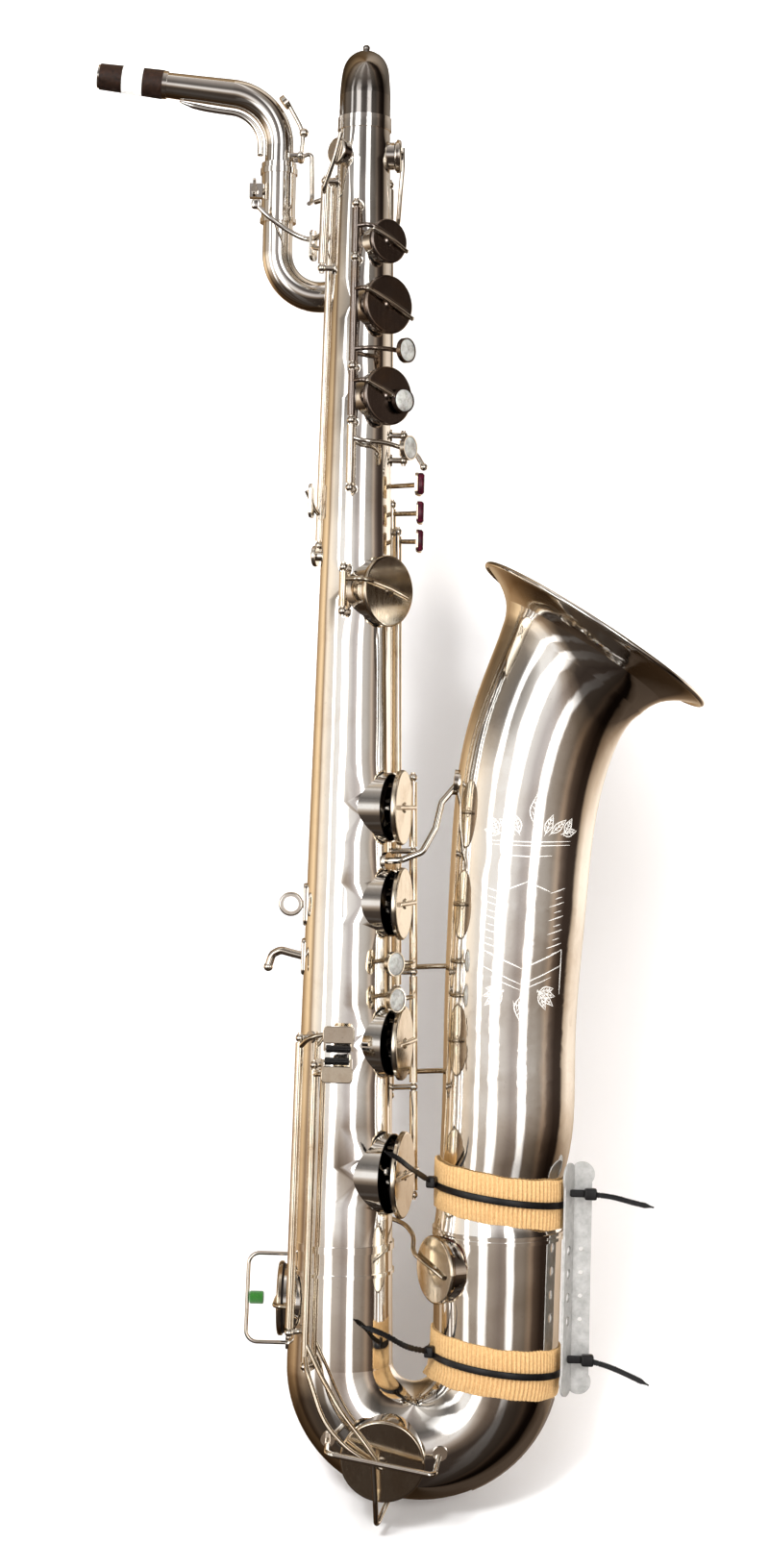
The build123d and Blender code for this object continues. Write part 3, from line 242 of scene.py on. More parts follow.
studio = {
    # what stands round the object, by bearing: 0 is behind it, 0.25 its left, 0.5 the viewer, 0.75 its right
    "walls": [(0.0, "9A8468"), (0.08, "8A6F50"), (0.17, "CFB48F"), (0.21, "86705A"), (0.256, "D4C7B6"),
              (0.31, "B9B2AA"), (0.37, "C4C1BE"), (0.46, "B9B5B2"), (0.5, "9C9694"), (0.54, "ADA6A3"),
              (0.6, "9C9792"), (0.64, "8A837C"), (0.665, "A39486"), (0.69, "63574F"), (0.725, "352C27"),
              (0.768, "322A25"), (0.79, "B3A493"), (0.84, "EBDFD0"), (0.92, "E2D6C8"), (1.0, "9A8468")],
    # long white softboxes, which give the tubes their running highlights
    "softboxes": [(0.0, "000000"), (0.315, "000000"), (0.325, "FFFFFF"), (0.338, "FFFFFF"),
                  (0.348, "000000"), (0.392, "000000"), (0.402, "FFFFFF"), (0.438, "FFFFFF"),
                  (0.452, "000000"), (0.532, "000000"), (0.542, "FFFFFF"), (0.572, "FFFFFF"),
                  (0.584, "000000"), (1.0, "000000")],
    # how bright they are from straight down (0) to straight up (1)
    "heights": [(0.0, "3A332E"), (0.28, "4A423C"), (0.36, "8A7D70"), (0.42, "C8BEB4"), (0.47, "FFFFFF"),
                (0.56, "FFFFFF"), (0.6, "C4C1BE"), (0.64, "8A8785"), (0.72, "6E6C6A"), (0.85, "A09C98"),
                (1.0, "D8D4CF")],
    "boxHeights": [(0.0, "000000"), (0.3, "303030"), (0.42, "D0D0D0"), (0.47, "FFFFFF"),
                   (0.58, "FFFFFF"), (0.7, "C0C0C0"), (0.85, "303030"), (1.0, "808080")],
    "wander": 0.05,      # how much the edges of the reflections wander
    "strength": 1.65,
    "boxStrength": 2.6,
    "backdrop": "F3F3F5",
}


def lightStudio():
    # bearing = atan2(x, -y) as a share of a turn; height = z of the direction
    world = bpy.data.worlds.new("studio")
    bpy.context.scene.world = world
    world.use_nodes = True
    tree = world.node_tree
    tree.nodes.clear()
    direction = addNode(tree, "ShaderNodeTexCoord")
    wobble = addNode(tree, "ShaderNodeTexNoise", {
        "Vector": direction.outputs["Generated"], "Scale": 2.6, "Detail": 2.0})
    parts = addNode(tree, "ShaderNodeSeparateXYZ", {0: direction.outputs["Generated"]})
    towards = addNode(tree, "ShaderNodeMath", {0: parts.outputs["Y"], 1: -1.0}, operation="MULTIPLY")
    angle = addNode(tree, "ShaderNodeMath", {0: parts.outputs["X"], 1: towards.outputs[0]},
                    operation="ARCTAN2")
    bearing = addNode(tree, "ShaderNodeMapRange", {
        "Value": angle.outputs[0], "From Min": -math.pi, "From Max": math.pi})
    drift = addNode(tree, "ShaderNodeMath", {
        0: wobble.outputs["Fac"], 1: studio["wander"], 2: -0.5 * studio["wander"]},
        operation="MULTIPLY_ADD")
    wandering = addNode(tree, "ShaderNodeMath", {0: bearing.outputs[0], 1: drift.outputs[0]},
                        operation="ADD")
    height = addNode(tree, "ShaderNodeMapRange", {"Value": parts.outputs["Z"], "From Min": -1.0})
    walls = addNode(tree, "ShaderNodeValToRGB", {"Fac": wandering.outputs[0]}, stops=studio["walls"])
    wallHeight = addNode(tree, "ShaderNodeValToRGB", {"Fac": height.outputs[0]}, stops=studio["heights"])
    boxes = addNode(tree, "ShaderNodeValToRGB", {"Fac": wandering.outputs[0]}, stops=studio["softboxes"])
    boxHeight = addNode(tree, "ShaderNodeValToRGB", {"Fac": height.outputs[0]}, stops=studio["boxHeights"])
    shaded = addNode(tree, "ShaderNodeMix", {
        "Factor": 1.0, "A": walls.outputs["Color"], "B": wallHeight.outputs["Color"]},
        data_type="RGBA", blend_type="MULTIPLY")
    lit = addNode(tree, "ShaderNodeMix", {
        "Factor": 1.0, "A": boxes.outputs["Color"], "B": boxHeight.outputs["Color"]},
        data_type="RGBA", blend_type="MULTIPLY")
    wallLight = addNode(tree, "ShaderNodeBackground", {
        "Color": shaded.outputs["Result"], "Strength": studio["strength"]})
    boxLight = addNode(tree, "ShaderNodeBackground", {
        "Color": lit.outputs["Result"], "Strength": studio["boxStrength"]})
    both = addNode(tree, "ShaderNodeAddShader", {0: wallLight.outputs[0], 1: boxLight.outputs[0]})
    ray = addNode(tree, "ShaderNodeLightPath")
    pale = addNode(tree, "ShaderNodeBackground", {"Color": studio["backdrop"]})
    seen = addNode(tree, "ShaderNodeMixShader", {
        0: ray.outputs["Is Camera Ray"], 1: both.outputs[0], 2: pale.outputs[0]})
    addNode(tree, "ShaderNodeOutputWorld", {"Surface": seen.outputs[0]})


stage = {
    "wallY": 150.0,
    "floorZ": -206.0,
    "width": 3000.0,
    "height": 2400.0,
    "depth": 2600.0,
    "coveRadius": 240.0,
    "paint": "F7F7F8",
}


def makeObject(name, points, faces, material, smooth=True):
    # points are millimetres from the foot; smooth shading is set on every face alike
    mesh = bpy.data.meshes.new(name)
    mesh.from_pydata(fromFoot(points).tolist(), [], faces)
    mesh.polygons.foreach_set("use_smooth", np.full(len(mesh.polygons), smooth))
    mesh.materials.append(material)
    thing = bpy.data.objects.new(name, mesh)
    bpy.context.scene.collection.objects.link(thing)
    return thing


def gridFaces(rows, columns, closeRows=False, closeColumns=False):
    # quads of a grid of rows by columns, each corner numbered row * columns + column
    row = np.arange(rows if closeRows else rows - 1)
    column = np.arange(columns if closeColumns else columns - 1)
    r, c = np.meshgrid(row, column, indexing="ij")
    nextR, nextC = (r + 1) % rows, (c + 1) % columns
    quads = np.stack([r * columns + c, r * columns + nextC, nextR * columns + nextC, nextR * columns + c], -1)
    return quads.reshape(-1, 4).tolist()


def buildStage():
    # profile in Y and Z: the floor, a quarter-round cove, then the wall; swept along X
    y, z, radius = stage["wallY"], stage["floorZ"], stage["coveRadius"]
    turn = np.linspace(0, math.pi / 2, 24)
    profileY = np.concatenate([[y - stage["depth"]], y - radius + radius * np.sin(turn), [y]])
    profileZ = np.concatenate([[z], z + radius - radius * np.cos(turn), [z + stage["height"]]])
    across = np.array([-0.5, 0.5]) * stage["width"] + 60.0
    points = np.stack(np.broadcast_arrays(across[None, :], profileY[:, None], profileZ[:, None]), -1)
    material, tree, shader = newMaterial("stagePaint")
    shader.inputs["Base Color"].default_value = linearColour(stage["paint"])
    shader.inputs["Roughness"].default_value = 0.9
    side = addNode(tree, "ShaderNodeNewGeometry")
    clear = addNode(tree, "ShaderNodeBsdfTransparent")
    oneWay = addNode(tree, "ShaderNodeMixShader", {
        0: side.outputs["Backfacing"], 1: shader.outputs[0], 2: clear.outputs[0]})
    tree.links.new(oneWay.outputs[0], tree.nodes["Material Output"].inputs["Surface"])
    cove = makeObject("stageCove", points.reshape(-1, 3), gridFaces(len(profileY), 2), material)
    cove.visible_glossy = False


lamps = {
    # place in millimetres from the foot, size, watts, colour
    "key": ((-620.0, -1500.0, 1250.0), 420.0, 30.0, "FFFFFF"),
    "fill": ((900.0, -1700.0, 500.0), 900.0, 12.0, "FFF8F0"),
    "wallWash": ((100.0, -1200.0, 1900.0), 1400.0, 20.0, "FFFFFF"),
}
lampTarget = (40.0, 0.0, 300.0)


def hangLamps():
    for name, (place, size, watts, hexCode) in lamps.items():
        light = bpy.data.lights.new(name, "AREA")
        light.shape = "DISK"
        light.size = size * mm
        light.energy = watts
        light.color = linearColour(hexCode)[:3]
        lamp = bpy.data.objects.new(name, light)
        bpy.context.scene.collection.objects.link(lamp)
        lamp.location = fromFoot(place)
        aim = Vector(fromFoot(lampTarget)) - lamp.location
        lamp.rotation_euler = aim.to_track_quat("-Z", "Y").to_euler()
        lamp.visible_glossy = False


cameraSetup = {
    "place": (23.4, -1750.0, 323.2),
    "lens": 56.8,         # on a 36 mm sensor, along the picture's long side
    "roll": 1.156,
}


def placeCamera():
    roll = math.radians(cameraSetup["roll"])
    right = Vector((math.cos(roll), 0.0, math.sin(roll)))
    up = Vector((-math.sin(roll), 0.0, math.cos(roll)))
    back = Vector((0.0, -1.0, 0.0))
    data = bpy.data.cameras.new("camera")
    data.lens = cameraSetup["lens"]
    data.sensor_width = 36.0
    data.clip_start = 0.01
    data.clip_end = 50.0
    camera = bpy.data.objects.new("camera", data)
    bpy.context.scene.collection.objects.link(camera)
    turned = Matrix((right, up, back)).transposed().to_4x4()
    camera.matrix_world = Matrix.Translation(fromFoot(cameraSetup["place"])) @ turned
    bpy.context.scene.camera = camera


lightStudio()
buildStage()
hangLamps()
placeCamera()
bpy.context.scene.view_settings.view_transform = "Standard"
print("studio, stage and camera ready")


def unit(vectors):
    vectors = np.asarray(vectors, float)
    return vectors / np.linalg.norm(vectors, axis=-1, keepdims=True)


def facing(angle):
    # outward direction at a bearing in degrees round the body, from the front towards the bell
    turn = np.radians(angle)
    return np.stack([np.sin(turn), -np.cos(turn), np.zeros_like(turn)], -1)


bodyCone = {"footRadius": 35.5, "topRadius": 18.0, "length": 790.0}


def offWall(z, angle, lift):
    # a point off the body tube, whose radius falls evenly from its foot to its top
    fall = bodyCone["footRadius"] - bodyCone["topRadius"]
    radius = bodyCone["footRadius"] - fall * z / bodyCone["length"] + lift
    return facing(angle) * radius + np.array([0.0, 0.0, z])


def turnAbout(points, rod, degrees):
    # Rodrigues: p cos + (k x p) sin + k (k.p)(1 - cos), about a rod given by its bearing and lift
    foot = offWall(0.0, rod[0], rod[1])
    k = unit(offWall(100.0, rod[0], rod[1]) - foot)
    turn = np.radians(degrees)
    arm = np.asarray(points, float) - foot
    along = (arm @ k)[..., None] * k
    return foot + arm * np.cos(turn) + np.cross(k, arm) * np.sin(turn) + along * (1 - np.cos(turn))


def acrossAt(angle):
    # level direction along the wall at a bearing
    turn = math.radians(angle)
    return np.array([math.cos(turn), math.sin(turn), 0.0])


def curveThrough(points, steps=10):
    # Catmull-Rom: each span is a cubic of its two ends and their neighbours
    points = np.asarray(points, float)
    padded = np.concatenate([[2 * points[0] - points[1]], points, [2 * points[-1] - points[-2]]])
    a, b, c, d = (padded[i:len(padded) - 3 + i, None] for i in range(4))
    t = np.linspace(0, 1, steps, endpoint=False)[None, :, None]
    spans = 0.5 * (2 * b + (c - a) * t + (2 * a - 5 * b + 4 * c - d) * t ** 2
                   + (3 * b - a - 3 * c + d) * t ** 3)
    return np.concatenate([spans.reshape(-1, 3), points[-1:]])


def carried(path, outline, reference=(0.0, 1.0, 0.0), scale=None):
    # an outline of (across, up) points carried along a path and capped: point = path + across * s + up * n
    path = np.asarray(path, float)
    outline = np.asarray(outline, float)
    along = unit(np.gradient(path, axis=0))
    side = unit(np.cross(along, reference))
    over = np.cross(side, along)
    grow = np.ones(len(path)) if scale is None else np.asarray(scale, float)
    points = (path[:, None] + grow[:, None, None]
              * (outline[None, :, :1] * side[:, None] + outline[None, :, 1:] * over[:, None]))
    rows, columns = len(path), len(outline)
    faces = gridFaces(rows, columns, closeColumns=True)
    faces.append(list(range(columns))[::-1])
    faces.append(list(range((rows - 1) * columns, rows * columns)))
    return points.reshape(-1, 3), faces


def circle(radius, sides=12):
    turn = np.arange(sides) / sides * 2 * math.pi
    return np.stack([np.cos(turn), np.sin(turn)], -1) * radius


def turned(profile, centre, axis, sides=40):
    # a profile of (radius, height) points turned round an axis through centre; its ends lie on the axis
    axis = unit(axis)
    side = unit(np.cross(axis, [0.3, 0.1, 1.0] if abs(axis[2]) < 0.9 else [1.0, 0.0, 0.0]))
    over = np.cross(axis, side)
    profile = np.asarray(profile, float)
    turn = np.arange(sides) / sides * 2 * math.pi
    ring = np.cos(turn)[:, None] * side + np.sin(turn)[:, None] * over
    points = np.asarray(centre) + profile[:, None, :1] * ring + profile[:, None, 1:] * axis
    return points.reshape(-1, 3), gridFaces(len(profile), sides, closeColumns=True)


mergeDistance = 1e-6      # metres


def joined(shapes):
    # one list of points and faces from several
    points, faces, start = [], [], 0
    for shapePoints, shapeFaces in shapes:
        points.append(np.asarray(shapePoints, float))
        faces += [[corner + start for corner in face] for face in shapeFaces]
        start += len(shapePoints)
    return np.concatenate(points), faces


def addPiece(name, shape, material, body):
    # merges doubled points, turns every face outwards and rides the piece on its body
    piece = makeObject(name, *shape, material)
    shell = bmesh.new()
    shell.from_mesh(piece.data)
    bmesh.ops.remove_doubles(shell, verts=shell.verts, dist=mergeDistance)
    bmesh.ops.recalc_face_normals(shell, faces=shell.faces)
    shell.to_mesh(piece.data)
    shell.free()
    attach(piece, body)
    return piece


wraps = {
    "heights": {"upper": 37.0, "lower": -82.0},
    "width": 34.0,
    "lean": 7.0,          # the left side is higher
    "axisX": 112.0,
    "flutes": 88,
    "stepsPerFlute": 8,
    "grooveOut": 0.5,     # how far the bottom of a groove stands off the tube
    "ridgeOut": 2.35,
    # place across the card as a share of half its width, and what is left of the flute's height there
    "section": [(-1.0, 0.55), (-0.97, 0.9), (-0.5, 1.0), (0.0, 0.94), (0.5, 1.0), (0.97, 0.9), (1.0, 0.55)],
}


bellLeg = {
    "bendX": 55.0,        # axis of the bow's bend, and the height where the bend starts
    "bendZ": -85.0,
    "axisX": 110.0,       # axis of the leg, which drifts outwards from flareZ up
    "flareZ": 12.0,
    "driftHeight": 51.5,
    "drift": 3.3,
    "radius": 44.2,       # at the bend's start; it grows by 1 mm to flareZ
    "growth": 1.0,
}
cardClearance = 0.25      # between the card's plain inside and the tube


def legPoint(turn, lift, height, across):
    # The bell's leg with the bend of the bow under it. Across the leg a point is R cos and R sin of its
    # turn; below the bend's start its distance from the bend's axis stays, so x shrinks as it drops.
    leanSlope = math.tan(math.radians(wraps["lean"]))
    bendX, bendZ, flareZ = bellLeg["bendX"], bellLeg["bendZ"], bellLeg["flareZ"]
    climbed = np.clip((height - flareZ) / bellLeg["driftHeight"], 0, 1)
    straightX = bellLeg["axisX"] + climbed * bellLeg["drift"]
    grown = np.clip((height - bendZ) / (flareZ - bendZ), 0, 1) * bellLeg["growth"]
    radius = bellLeg["radius"] + grown + lift
    x = straightX + radius * np.cos(turn)
    z = height - (x - wraps["axisX"]) * leanSlope + across
    drop = np.clip(bendZ - z, 0, 40)
    reach = x - bendX
    x = bendX + np.sqrt(np.maximum(reach ** 2 - drop ** 2, 1.0))
    return np.stack([x, radius * np.sin(turn), z], -1)


def buildWrap(name, height):
    # ridges follow |sin| of the turn, so the grooves between them are narrow; the inside is plain
    columns = wraps["flutes"] * wraps["stepsPerFlute"]
    turn = np.arange(columns) / columns * 2 * math.pi
    ridge = np.abs(np.sin(turn * wraps["flutes"] / 2)) ** 0.9
    out = wraps["grooveOut"] + (wraps["ridgeOut"] - wraps["grooveOut"]) * ridge
    half = wraps["width"] / 2
    # cut edges waver by a few tenths of a millimetre: two sines with 5 and 13 waves a turn
    edge = half + 0.35 * np.sin(5 * turn + height) + 0.25 * np.sin(13 * turn)
    rows = [legPoint(turn, out * squash, height, share * edge) for share, squash in wraps["section"]]
    rows += [legPoint(turn, cardClearance, height, side * edge) for side in (1, -1)]
    points = np.stack(rows).reshape(-1, 3)
    faces = gridFaces(len(rows), columns, closeRows=True, closeColumns=True)
    return addPiece(name, (points, faces), kraftCard, "root")


ties = {
    "width": 4.8,
    "thickness": 1.3,
    "toothMm": 1.4,
    "steps": 160,         # points round a loop
    # buckle, middle and end of each free tail on the left, millimetres from the foot
    "tails": {
        "upper": [(62.0, -16.0, 45.0), (47.0, -41.0, 58.0), (38.0, -50.0, 66.0), (28.5, -55.0, 71.5)],
        "lower": [(63.0, -16.0, -74.0), (47.0, -33.0, -67.0), (31.0, -42.0, -57.0), (15.0, -46.0, -50.0)],
    },
    # heads and tails on the bracket's side
    "bracketTails": {
        "upper": [(173.0, -24.0, 40.0), (188.0, -26.0, 38.5), (203.0, -27.0, 35.0), (217.0, -27.0, 32.0)],
        "lower": [(173.0, -24.0, -76.0), (188.0, -25.0, -80.0), (203.0, -26.0, -86.0), (216.0, -27.0, -92.0)],
    },
}


def roundedBox(centre, size, corner, turnDegrees=0.0):
    # a superellipsoid: sine and cosine are raised to the power corner, so a smaller power is a sharper box
    u = np.linspace(-math.pi / 2, math.pi / 2, 17)
    v = np.arange(32) / 32 * 2 * math.pi

    def bend(wave):
        return np.sign(wave) * np.abs(wave) ** corner

    x = bend(np.cos(u))[:, None] * bend(np.cos(v))[None]
    y = bend(np.cos(u))[:, None] * bend(np.sin(v))[None]
    z = np.broadcast_to(bend(np.sin(u))[:, None], x.shape)
    turn = math.radians(turnDegrees)
    sized = np.stack([x, y, z], -1) * np.asarray(size) / 2
    spun = np.stack([sized[..., 0] * math.cos(turn) - sized[..., 1] * math.sin(turn),
                     sized[..., 0] * math.sin(turn) + sized[..., 1] * math.cos(turn), sized[..., 2]], -1)
    return (spun + np.asarray(centre)).reshape(-1, 3), gridFaces(17, 32, closeColumns=True)


def strapOutline(width, thickness):
    # a flat bar with rounded edges
    turn = np.arange(16) / 16 * 2 * math.pi
    across = np.sign(np.cos(turn)) * np.abs(np.cos(turn)) ** 0.35 * thickness / 2
    up = np.sign(np.sin(turn)) * np.abs(np.sin(turn)) ** 0.35 * width / 2
    return np.stack([across, up], -1)


def toothedTail(route):
    # a tail that narrows to its tip, with teeth as a fine wave in its thickness
    path = curveThrough(route, 24)
    along = np.concatenate([[0], np.cumsum(np.linalg.norm(np.diff(path, axis=0), axis=1))])
    teeth = 1.0 + 0.12 * np.sign(np.sin(along * 2 * math.pi / ties["toothMm"]))
    tip = np.clip((along[-1] - along) / 6.0, 0.35, 1.0)
    outline = strapOutline(ties["width"] * 0.78, ties["thickness"])
    return carried(path, outline, reference=(0.0, 0.35, 1.0), scale=teeth * tip)


def buildTies(name, height):
    # the loop: a strap's outline carried round the wrap, lying on its ridges
    turn = np.arange(ties["steps"]) / ties["steps"] * 2 * math.pi
    lift = wraps["ridgeOut"] + 0.1
    half = ties["width"] / 2
    rings = []
    thick = ties["thickness"]
    # the strap's section, with rounded edges and a shallow groove along its middle
    for out, share in ((0.0, -0.9), (0.0, 0.9), (0.35, 1.0), (thick - 0.3, 1.0), (thick, 0.75),
                       (thick - 0.25, 0.0), (thick, -0.75), (thick - 0.3, -1.0), (0.35, -1.0)):
        rings.append(legPoint(turn, lift + out, height, half * share))
    faces = gridFaces(len(rings), ties["steps"], closeRows=True, closeColumns=True)
    loop = (np.stack(rings).reshape(-1, 3), faces)
    tail = ties["tails"][name]
    far = ties["bracketTails"][name]
    shapes = [
        loop,
        roundedBox(tail[0], (6.8, 7.2, 8.0), 0.3, -20.0),
        toothedTail(tail),
        roundedBox(far[0], (8.6, 6.8, 8.0), 0.3),
        roundedBox(np.add(far[0], (-8.0, 2.0, 0.0)), (12.0, 3.0, 5.2), 0.25),
        toothedTail(far),
    ]
    return addPiece(name + "CableTie", joined(shapes), tieNylon, "root")


for name, height in wraps["heights"].items():
    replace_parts(buildWrap(name + "CardWrap", height), "card_wraps")
for name, height in wraps["heights"].items():
    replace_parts(buildTies(name, height), "cable_ties")
print("wraps and ties made")


rods = {"upper": (-9.0, 8.0), "lower": (107.0, 17.5)}
pearls = {
    # body, height, bearing and lift of the dish's foot, rod and turn to the way the key rests
    "bPearl": ("b", 625.5, 55.0, 15.5, "upper", -6.0),
    "gPearl": ("g_touch", 558.0, 56.0, 18.0, "upper", 0.0),
    "ePearl": ("e", 173.5, 40.0, 9.5, "lower", 8.0),
    "fPearl": ("f", 198.5, 38.0, 9.5, "lower", 8.0),
}
pearlShape = {"radius": 7.6, "foot": 1.45, "edge": 3.0, "crown": 4.3}
# on the A cup itself: the hole's height, bearing and rim lift, then the dish's place across and up on the cup
aPearl = {"z": 594.0, "angle": 43.0, "rim": 3.0, "across": 9.0, "up": -3.0, "lift": 7.3, "rest": -6.0}


def pearlProfile():
    # a disc with a rounded edge and a crown: height = edge + (crown - edge) cos of the way out
    way = np.linspace(0, math.pi / 2, 9)
    dome = [(pearlShape["radius"] * math.sin(t), pearlShape["edge"]
             + (pearlShape["crown"] - pearlShape["edge"]) * math.cos(t)) for t in way]
    return dome + [(pearlShape["radius"], pearlShape["foot"]), (0.0, pearlShape["foot"])]


def buildPearl(name, body, foot, normal):
    return addPiece(name, turned(pearlProfile(), foot, normal), shellPearl, body)


for name, (body, z, angle, lift, rod, rest) in pearls.items():
    foot, tip = turnAbout([offWall(z, angle, lift), offWall(z, angle, lift + 1.0)], rods[rod], rest)
    buildPearl(name, body, foot, tip - foot)
base = offWall(aPearl["z"], aPearl["angle"], aPearl["rim"] + aPearl["lift"])
base = base + acrossAt(aPearl["angle"]) * aPearl["across"] + np.array([0.0, 0.0, aPearl["up"]])
foot, tip = turnAbout([base, base + facing(aPearl["angle"])], rods["upper"], aPearl["rest"])
buildPearl("aPearl", "a", foot, tip - foot)
print("pearls made")


upperCups = {
    # body, height and radius of the cup; the bar runs from the hinge's side, up left to low right
    "cCupBar": ("c", 702.5, 15.5, 0.92),
    "bCupBar": ("b", 658.0, 20.5, 0.95),
    "aCupBar": ("a", 594.0, 20.5, 0.0),
}
upperCup = {"angle": 43.0, "rim": 3.0, "top": 5.5, "drop": 0.42, "crown": 2.1, "rest": -6.0,
            "barRadius": 1.5}


def buildCupBar(name, body, z, radius, reach):
    # across the top of the cup, lying on it; its middle stands a little proud over the boss
    slant = acrossAt(upperCup["angle"]) - np.array([0.0, 0.0, upperCup["drop"]])
    crown = upperCup["crown"]
    # place along the bar as a share of the cup's radius, and height over the cup's top
    stops = [(-1.02, 0.2), (-0.5, 1.6), (0.0, crown), (0.5 * reach, 1.6 if reach else crown), (reach, 0.5)]
    points = [offWall(z, upperCup["angle"], upperCup["rim"] + upperCup["top"] + lift) + slant * radius * share
              for share, lift in stops]
    path = curveThrough(turnAbout(points, rods["upper"], upperCup["rest"]), 8)
    bar = carried(path, circle(upperCup["barRadius"]), reference=(0.3, -1.0, 0.2))
    return addPiece(name, bar, keySilver, body)


for name, (body, z, radius, reach) in upperCups.items():
    buildCupBar(name, body, z, radius, reach)

# stands in front of the receiver and curls under it towards the body
octaveArm = [(-77.0, 24.0, 737.0), (-68.0, 21.5, 728.0), (-55.0, 22.0, 719.0), (-41.0, 20.0, 712.0),
             (-32.0, 12.0, 711.5), (-26.0, 2.0, 715.0)]
armShapes = [carried(curveThrough(octaveArm, 10), circle(1.9), reference=(0.0, 1.0, 0.3)),
             roundedBox(octaveArm[0], (7.0, 5.0, 7.0), 0.6)]
addPiece("octaveArm", joined(armShapes), neckSilver, "root")

tableRollers = {
    # body of the plate a roller turns on, and the plate's height
    "csharpRoller": ("low_csharp", 535.0),
    "bRoller": ("low_b", 515.0),
    "bflatRoller": ("low_bflat", 495.0),
}
tableRoller = {"place": (44.6, -8.6), "radius": 2.6, "length": 15.0, "cap": 1.2}
for name, (body, z) in tableRollers.items():
    half = tableRoller["length"] / 2
    radius, cap = tableRoller["radius"], tableRoller["cap"]
    profile = [(0.0, -half), (radius - cap, -half), (radius, cap - half), (radius, half - cap),
               (radius - cap, half), (0.0, half)]
    addPiece(name, turned(profile, (*tableRoller["place"], z), (0.0, 0.0, 1.0), 28), redCelluloid, body)


neckBrace = {"bendCentre": (-100.0, 783.5), "insideRadius": 24.2, "rise": 6.3, "straight": 38.0,
             "planeY": 44.0, "radius": 2.1, "bendSteps": 28, "runSteps": 14}


def buildNeckBrace():
    # an arc inside the neck's bend that runs on under its straight tube and closes up to it at the end
    turn = np.radians(np.linspace(-16, 90 - neckBrace["rise"], neckBrace["bendSteps"]))
    centreX, centreZ = neckBrace["bendCentre"]
    arcX = centreX + neckBrace["insideRadius"] * np.cos(turn)
    arcZ = centreZ + neckBrace["insideRadius"] * np.sin(turn)
    arcX[:4] = centreX + neckBrace["insideRadius"]
    rise = math.radians(neckBrace["rise"])
    way = np.linspace(0.08, 1, neckBrace["runSteps"])
    runX = arcX[-1] - neckBrace["straight"] * way * math.cos(rise)
    runZ = arcZ[-1] + neckBrace["straight"] * way * math.sin(rise) + 3.4 * way ** 3
    steps = neckBrace["bendSteps"] + neckBrace["runSteps"]
    path = np.stack([np.concatenate([arcX, runX]), np.full(steps, neckBrace["planeY"]),
                     np.concatenate([arcZ, runZ])], -1)
    size = np.ones(steps)
    size[-5:] = np.linspace(1.0, 0.35, 5)
    brace = carried(path, circle(neckBrace["radius"]), scale=size)
    addPiece("neckBrace", brace, neckSilver, "neck")


buildNeckBrace()


engraving = {
    "middle": 4.0,        # bearing of its centre line, degrees from the front
    "start": 0.3,         # how far off the bell a cut is drawn, before it is pressed onto it
    "proud": 0.1,
    "offset": 0.03,
    "cutMm": 0.85,        # widest part of a cut, drawn broader than a graver's so that it shows
    "stations": [(112.5, 45.3, 40.0), (115.4, 46.6, 131.6), (117.4, 47.9, 210.0), (120.4, 49.2, 270.0),
                 (125.2, 50.8, 322.0), (132.8, 52.0, 357.0)],
}


def onBell(around, height, lift):
    # around is millimetres round the bell from the ornament's centre line
    x, radius, z = np.array(engraving["stations"]).T
    centreX, bellRadius = np.interp(height, z, x), np.interp(height, z, radius)
    turn = np.radians(engraving["middle"]) + around / bellRadius
    out = bellRadius + lift
    return np.stack([centreX + out * np.sin(turn), -out * np.cos(turn), height + 0 * turn], -1)


def cut(points, width=1.0, steps=6):
    # one graver's cut: a flat ribbon along a curve, pointed at both ends, width = sin of the way along
    flat = np.asarray([(x, 0.0, z) for x, z in points])
    straight = np.linspace(flat[0], flat[-1], steps + 1)
    line = (curveThrough(flat, steps) if len(points) > 2 else straight)[:, [0, 2]]
    along = unit(np.gradient(line, axis=0))
    side = np.stack([-along[:, 1], along[:, 0]], -1)
    swell = np.sin(np.linspace(0.12, math.pi - 0.12, len(line))) ** 0.6
    half = 0.5 * engraving["cutMm"] * width * swell[:, None] * side
    left, right = line + half, line - half
    ribbon = np.stack([onBell(edge[:, 0], edge[:, 1], engraving["start"]) for edge in (left, right)], 1)
    return ribbon.reshape(-1, 3), gridFaces(len(line), 2)


def leaf(x, z, heading, length, breadth):
    # two bowed edges, a middle rib and slanting veins
    turn = math.radians(heading)
    along = np.array([math.sin(turn), math.cos(turn)])
    side = np.array([along[1], -along[0]])
    root = np.array([x, z])
    strokes = []
    for sign in (-1, 1):
        middle = root + along * length * 0.45 + side * sign * breadth / 2
        strokes.append(cut([root, middle, root + along * length], 0.9))
        for share in (0.25, 0.45, 0.65):
            start = root + along * length * share
            strokes.append(cut([start, start + along * length * 0.17 + side * sign * breadth * 0.3], 0.6, 3))
    strokes.append(cut([root - along * length * 0.12, root + along * length * 0.85], 0.8))
    return strokes


def chevron(z, reach, rise, width=1.0):
    return [cut([(-reach, z + rise), (0.0, z)], width), cut([(reach, z + rise), (0.0, z)], width)]


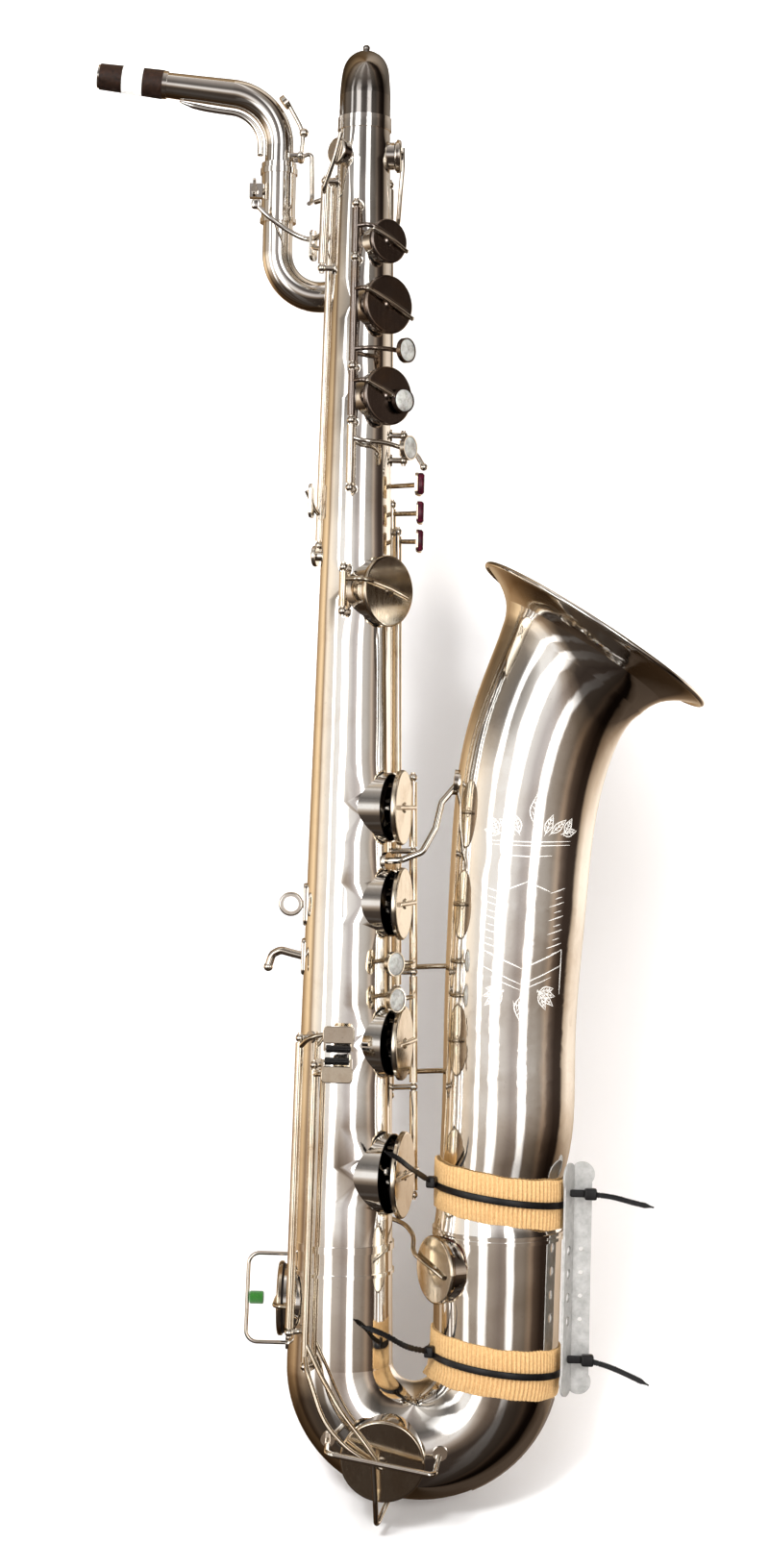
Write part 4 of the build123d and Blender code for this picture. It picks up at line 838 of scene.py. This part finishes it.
def buildEngraving():
    strokes = []
    # crest: a lance leaf over two rules, with curled leaves at both sides
    strokes += leaf(0.0, 298.0, 0.0, 20.0, 7.0)
    for x, heading, length in ((13.0, 48.0, 15.0), (22.0, 80.0, 13.0), (9.0, 18.0, 14.0), (24.0, 25.0, 12.0)):
        for sign in (-1, 1):
            strokes += leaf(sign * x, 291.0, sign * heading, length, 5.5)
    for z, reach in ((286.0, 30.0), (283.4, 30.0), (276.0, 16.0)):
        strokes.append(cut([(-reach, z), (0.0, z - 0.6), (reach, z)], 0.9, 10))
    strokes += chevron(258.0, 17.0, -7.0)
    # panel: slanting rules on both sides of a bare middle
    for row in range(5):
        z = 250.0 - row * 9.5
        for sign in (-1, 1):
            strokes.append(cut([(sign * 17.0, z), (sign * 29.0, z + 3.5)], 0.8))
            strokes.append(cut([(sign * 21.0, z - 4.0), (sign * 27.0, z - 2.4)], 0.6))
    # skirt: three deep chevrons, leaf fans and a hatched drop
    for place in ((198.0, 30.0, 13.0, 1.1), (187.0, 30.0, 13.0, 0.9), (183.0, 22.0, 9.0, 0.7)):
        strokes += chevron(*place)
    for sign in (-1, 1):
        for heading, length in ((105.0, 14.0), (130.0, 16.0), (155.0, 14.0), (80.0, 12.0)):
            strokes += leaf(sign * 13.0, 182.0, sign * heading, length, 5.0)
        strokes.append(cut([(sign * 30.0, 211.0), (sign * 30.5, 180.0)], 0.8, 8))
    strokes += leaf(0.0, 179.0, 180.0, 17.0, 8.0)
    for step in range(6):
        strokes.append(cut([(-5.0 + step * 2.0, 176.0), (-3.5 + step * 1.4, 170.0)], 0.6))
    points, faces = joined(strokes)
    piece = makeObject("bellEngraving", points, faces, brightCut, smooth=False)
    hug = piece.modifiers.new("hug", "SHRINKWRAP")
    hug.target = nodes["bell"]
    hug.wrap_mode = "ABOVE_SURFACE"
    hug.offset = engraving["offset"] * mm
    depth = piece.modifiers.new("depth", "SOLIDIFY")
    depth.thickness = engraving["proud"] * mm
    depth.offset = 1.0
    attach(piece, "root")
    print("engraving cuts:", len(strokes))


buildEngraving()


springs = {
    # bearing and lift of the rod, and the heights where springs are rooted in its posts
    "rods": [(-9.0, 8.0, (575.7, 613.7, 689.7)), (107.0, 17.5, (107.7, 189.7, 275.7)),
             (-49.0, 10.0, (145.3,)), (-33.0, 6.5, (127.3,)), (-125.0, 8.0, (492.7,)),
             (119.0, 9.0, (503.3,)), (-14.0, 8.0, (473.3,))],
    "lengthMm": 27.0,
    "radiusMm": 0.4,
}


def buildSprings():
    # each needle leans a little off its rod and thins towards its tip
    needles = []
    for bearing, lift, heights in springs["rods"]:
        for z in heights:
            ends = [offWall(z - springs["lengthMm"] * way, bearing - 7.0 + 3.5 * way, lift - 3.2 + 2.2 * way)
                    for way in (0.0, 0.5, 1.0)]
            path = curveThrough(ends, 4)
            taper = np.linspace(1.0, 0.5, len(path))
            needles.append(carried(path, circle(springs["radiusMm"], 8), scale=taper))
    addPiece("needleSprings", joined(needles), bluedSteel, "root")


buildSprings()
print("pieces made")
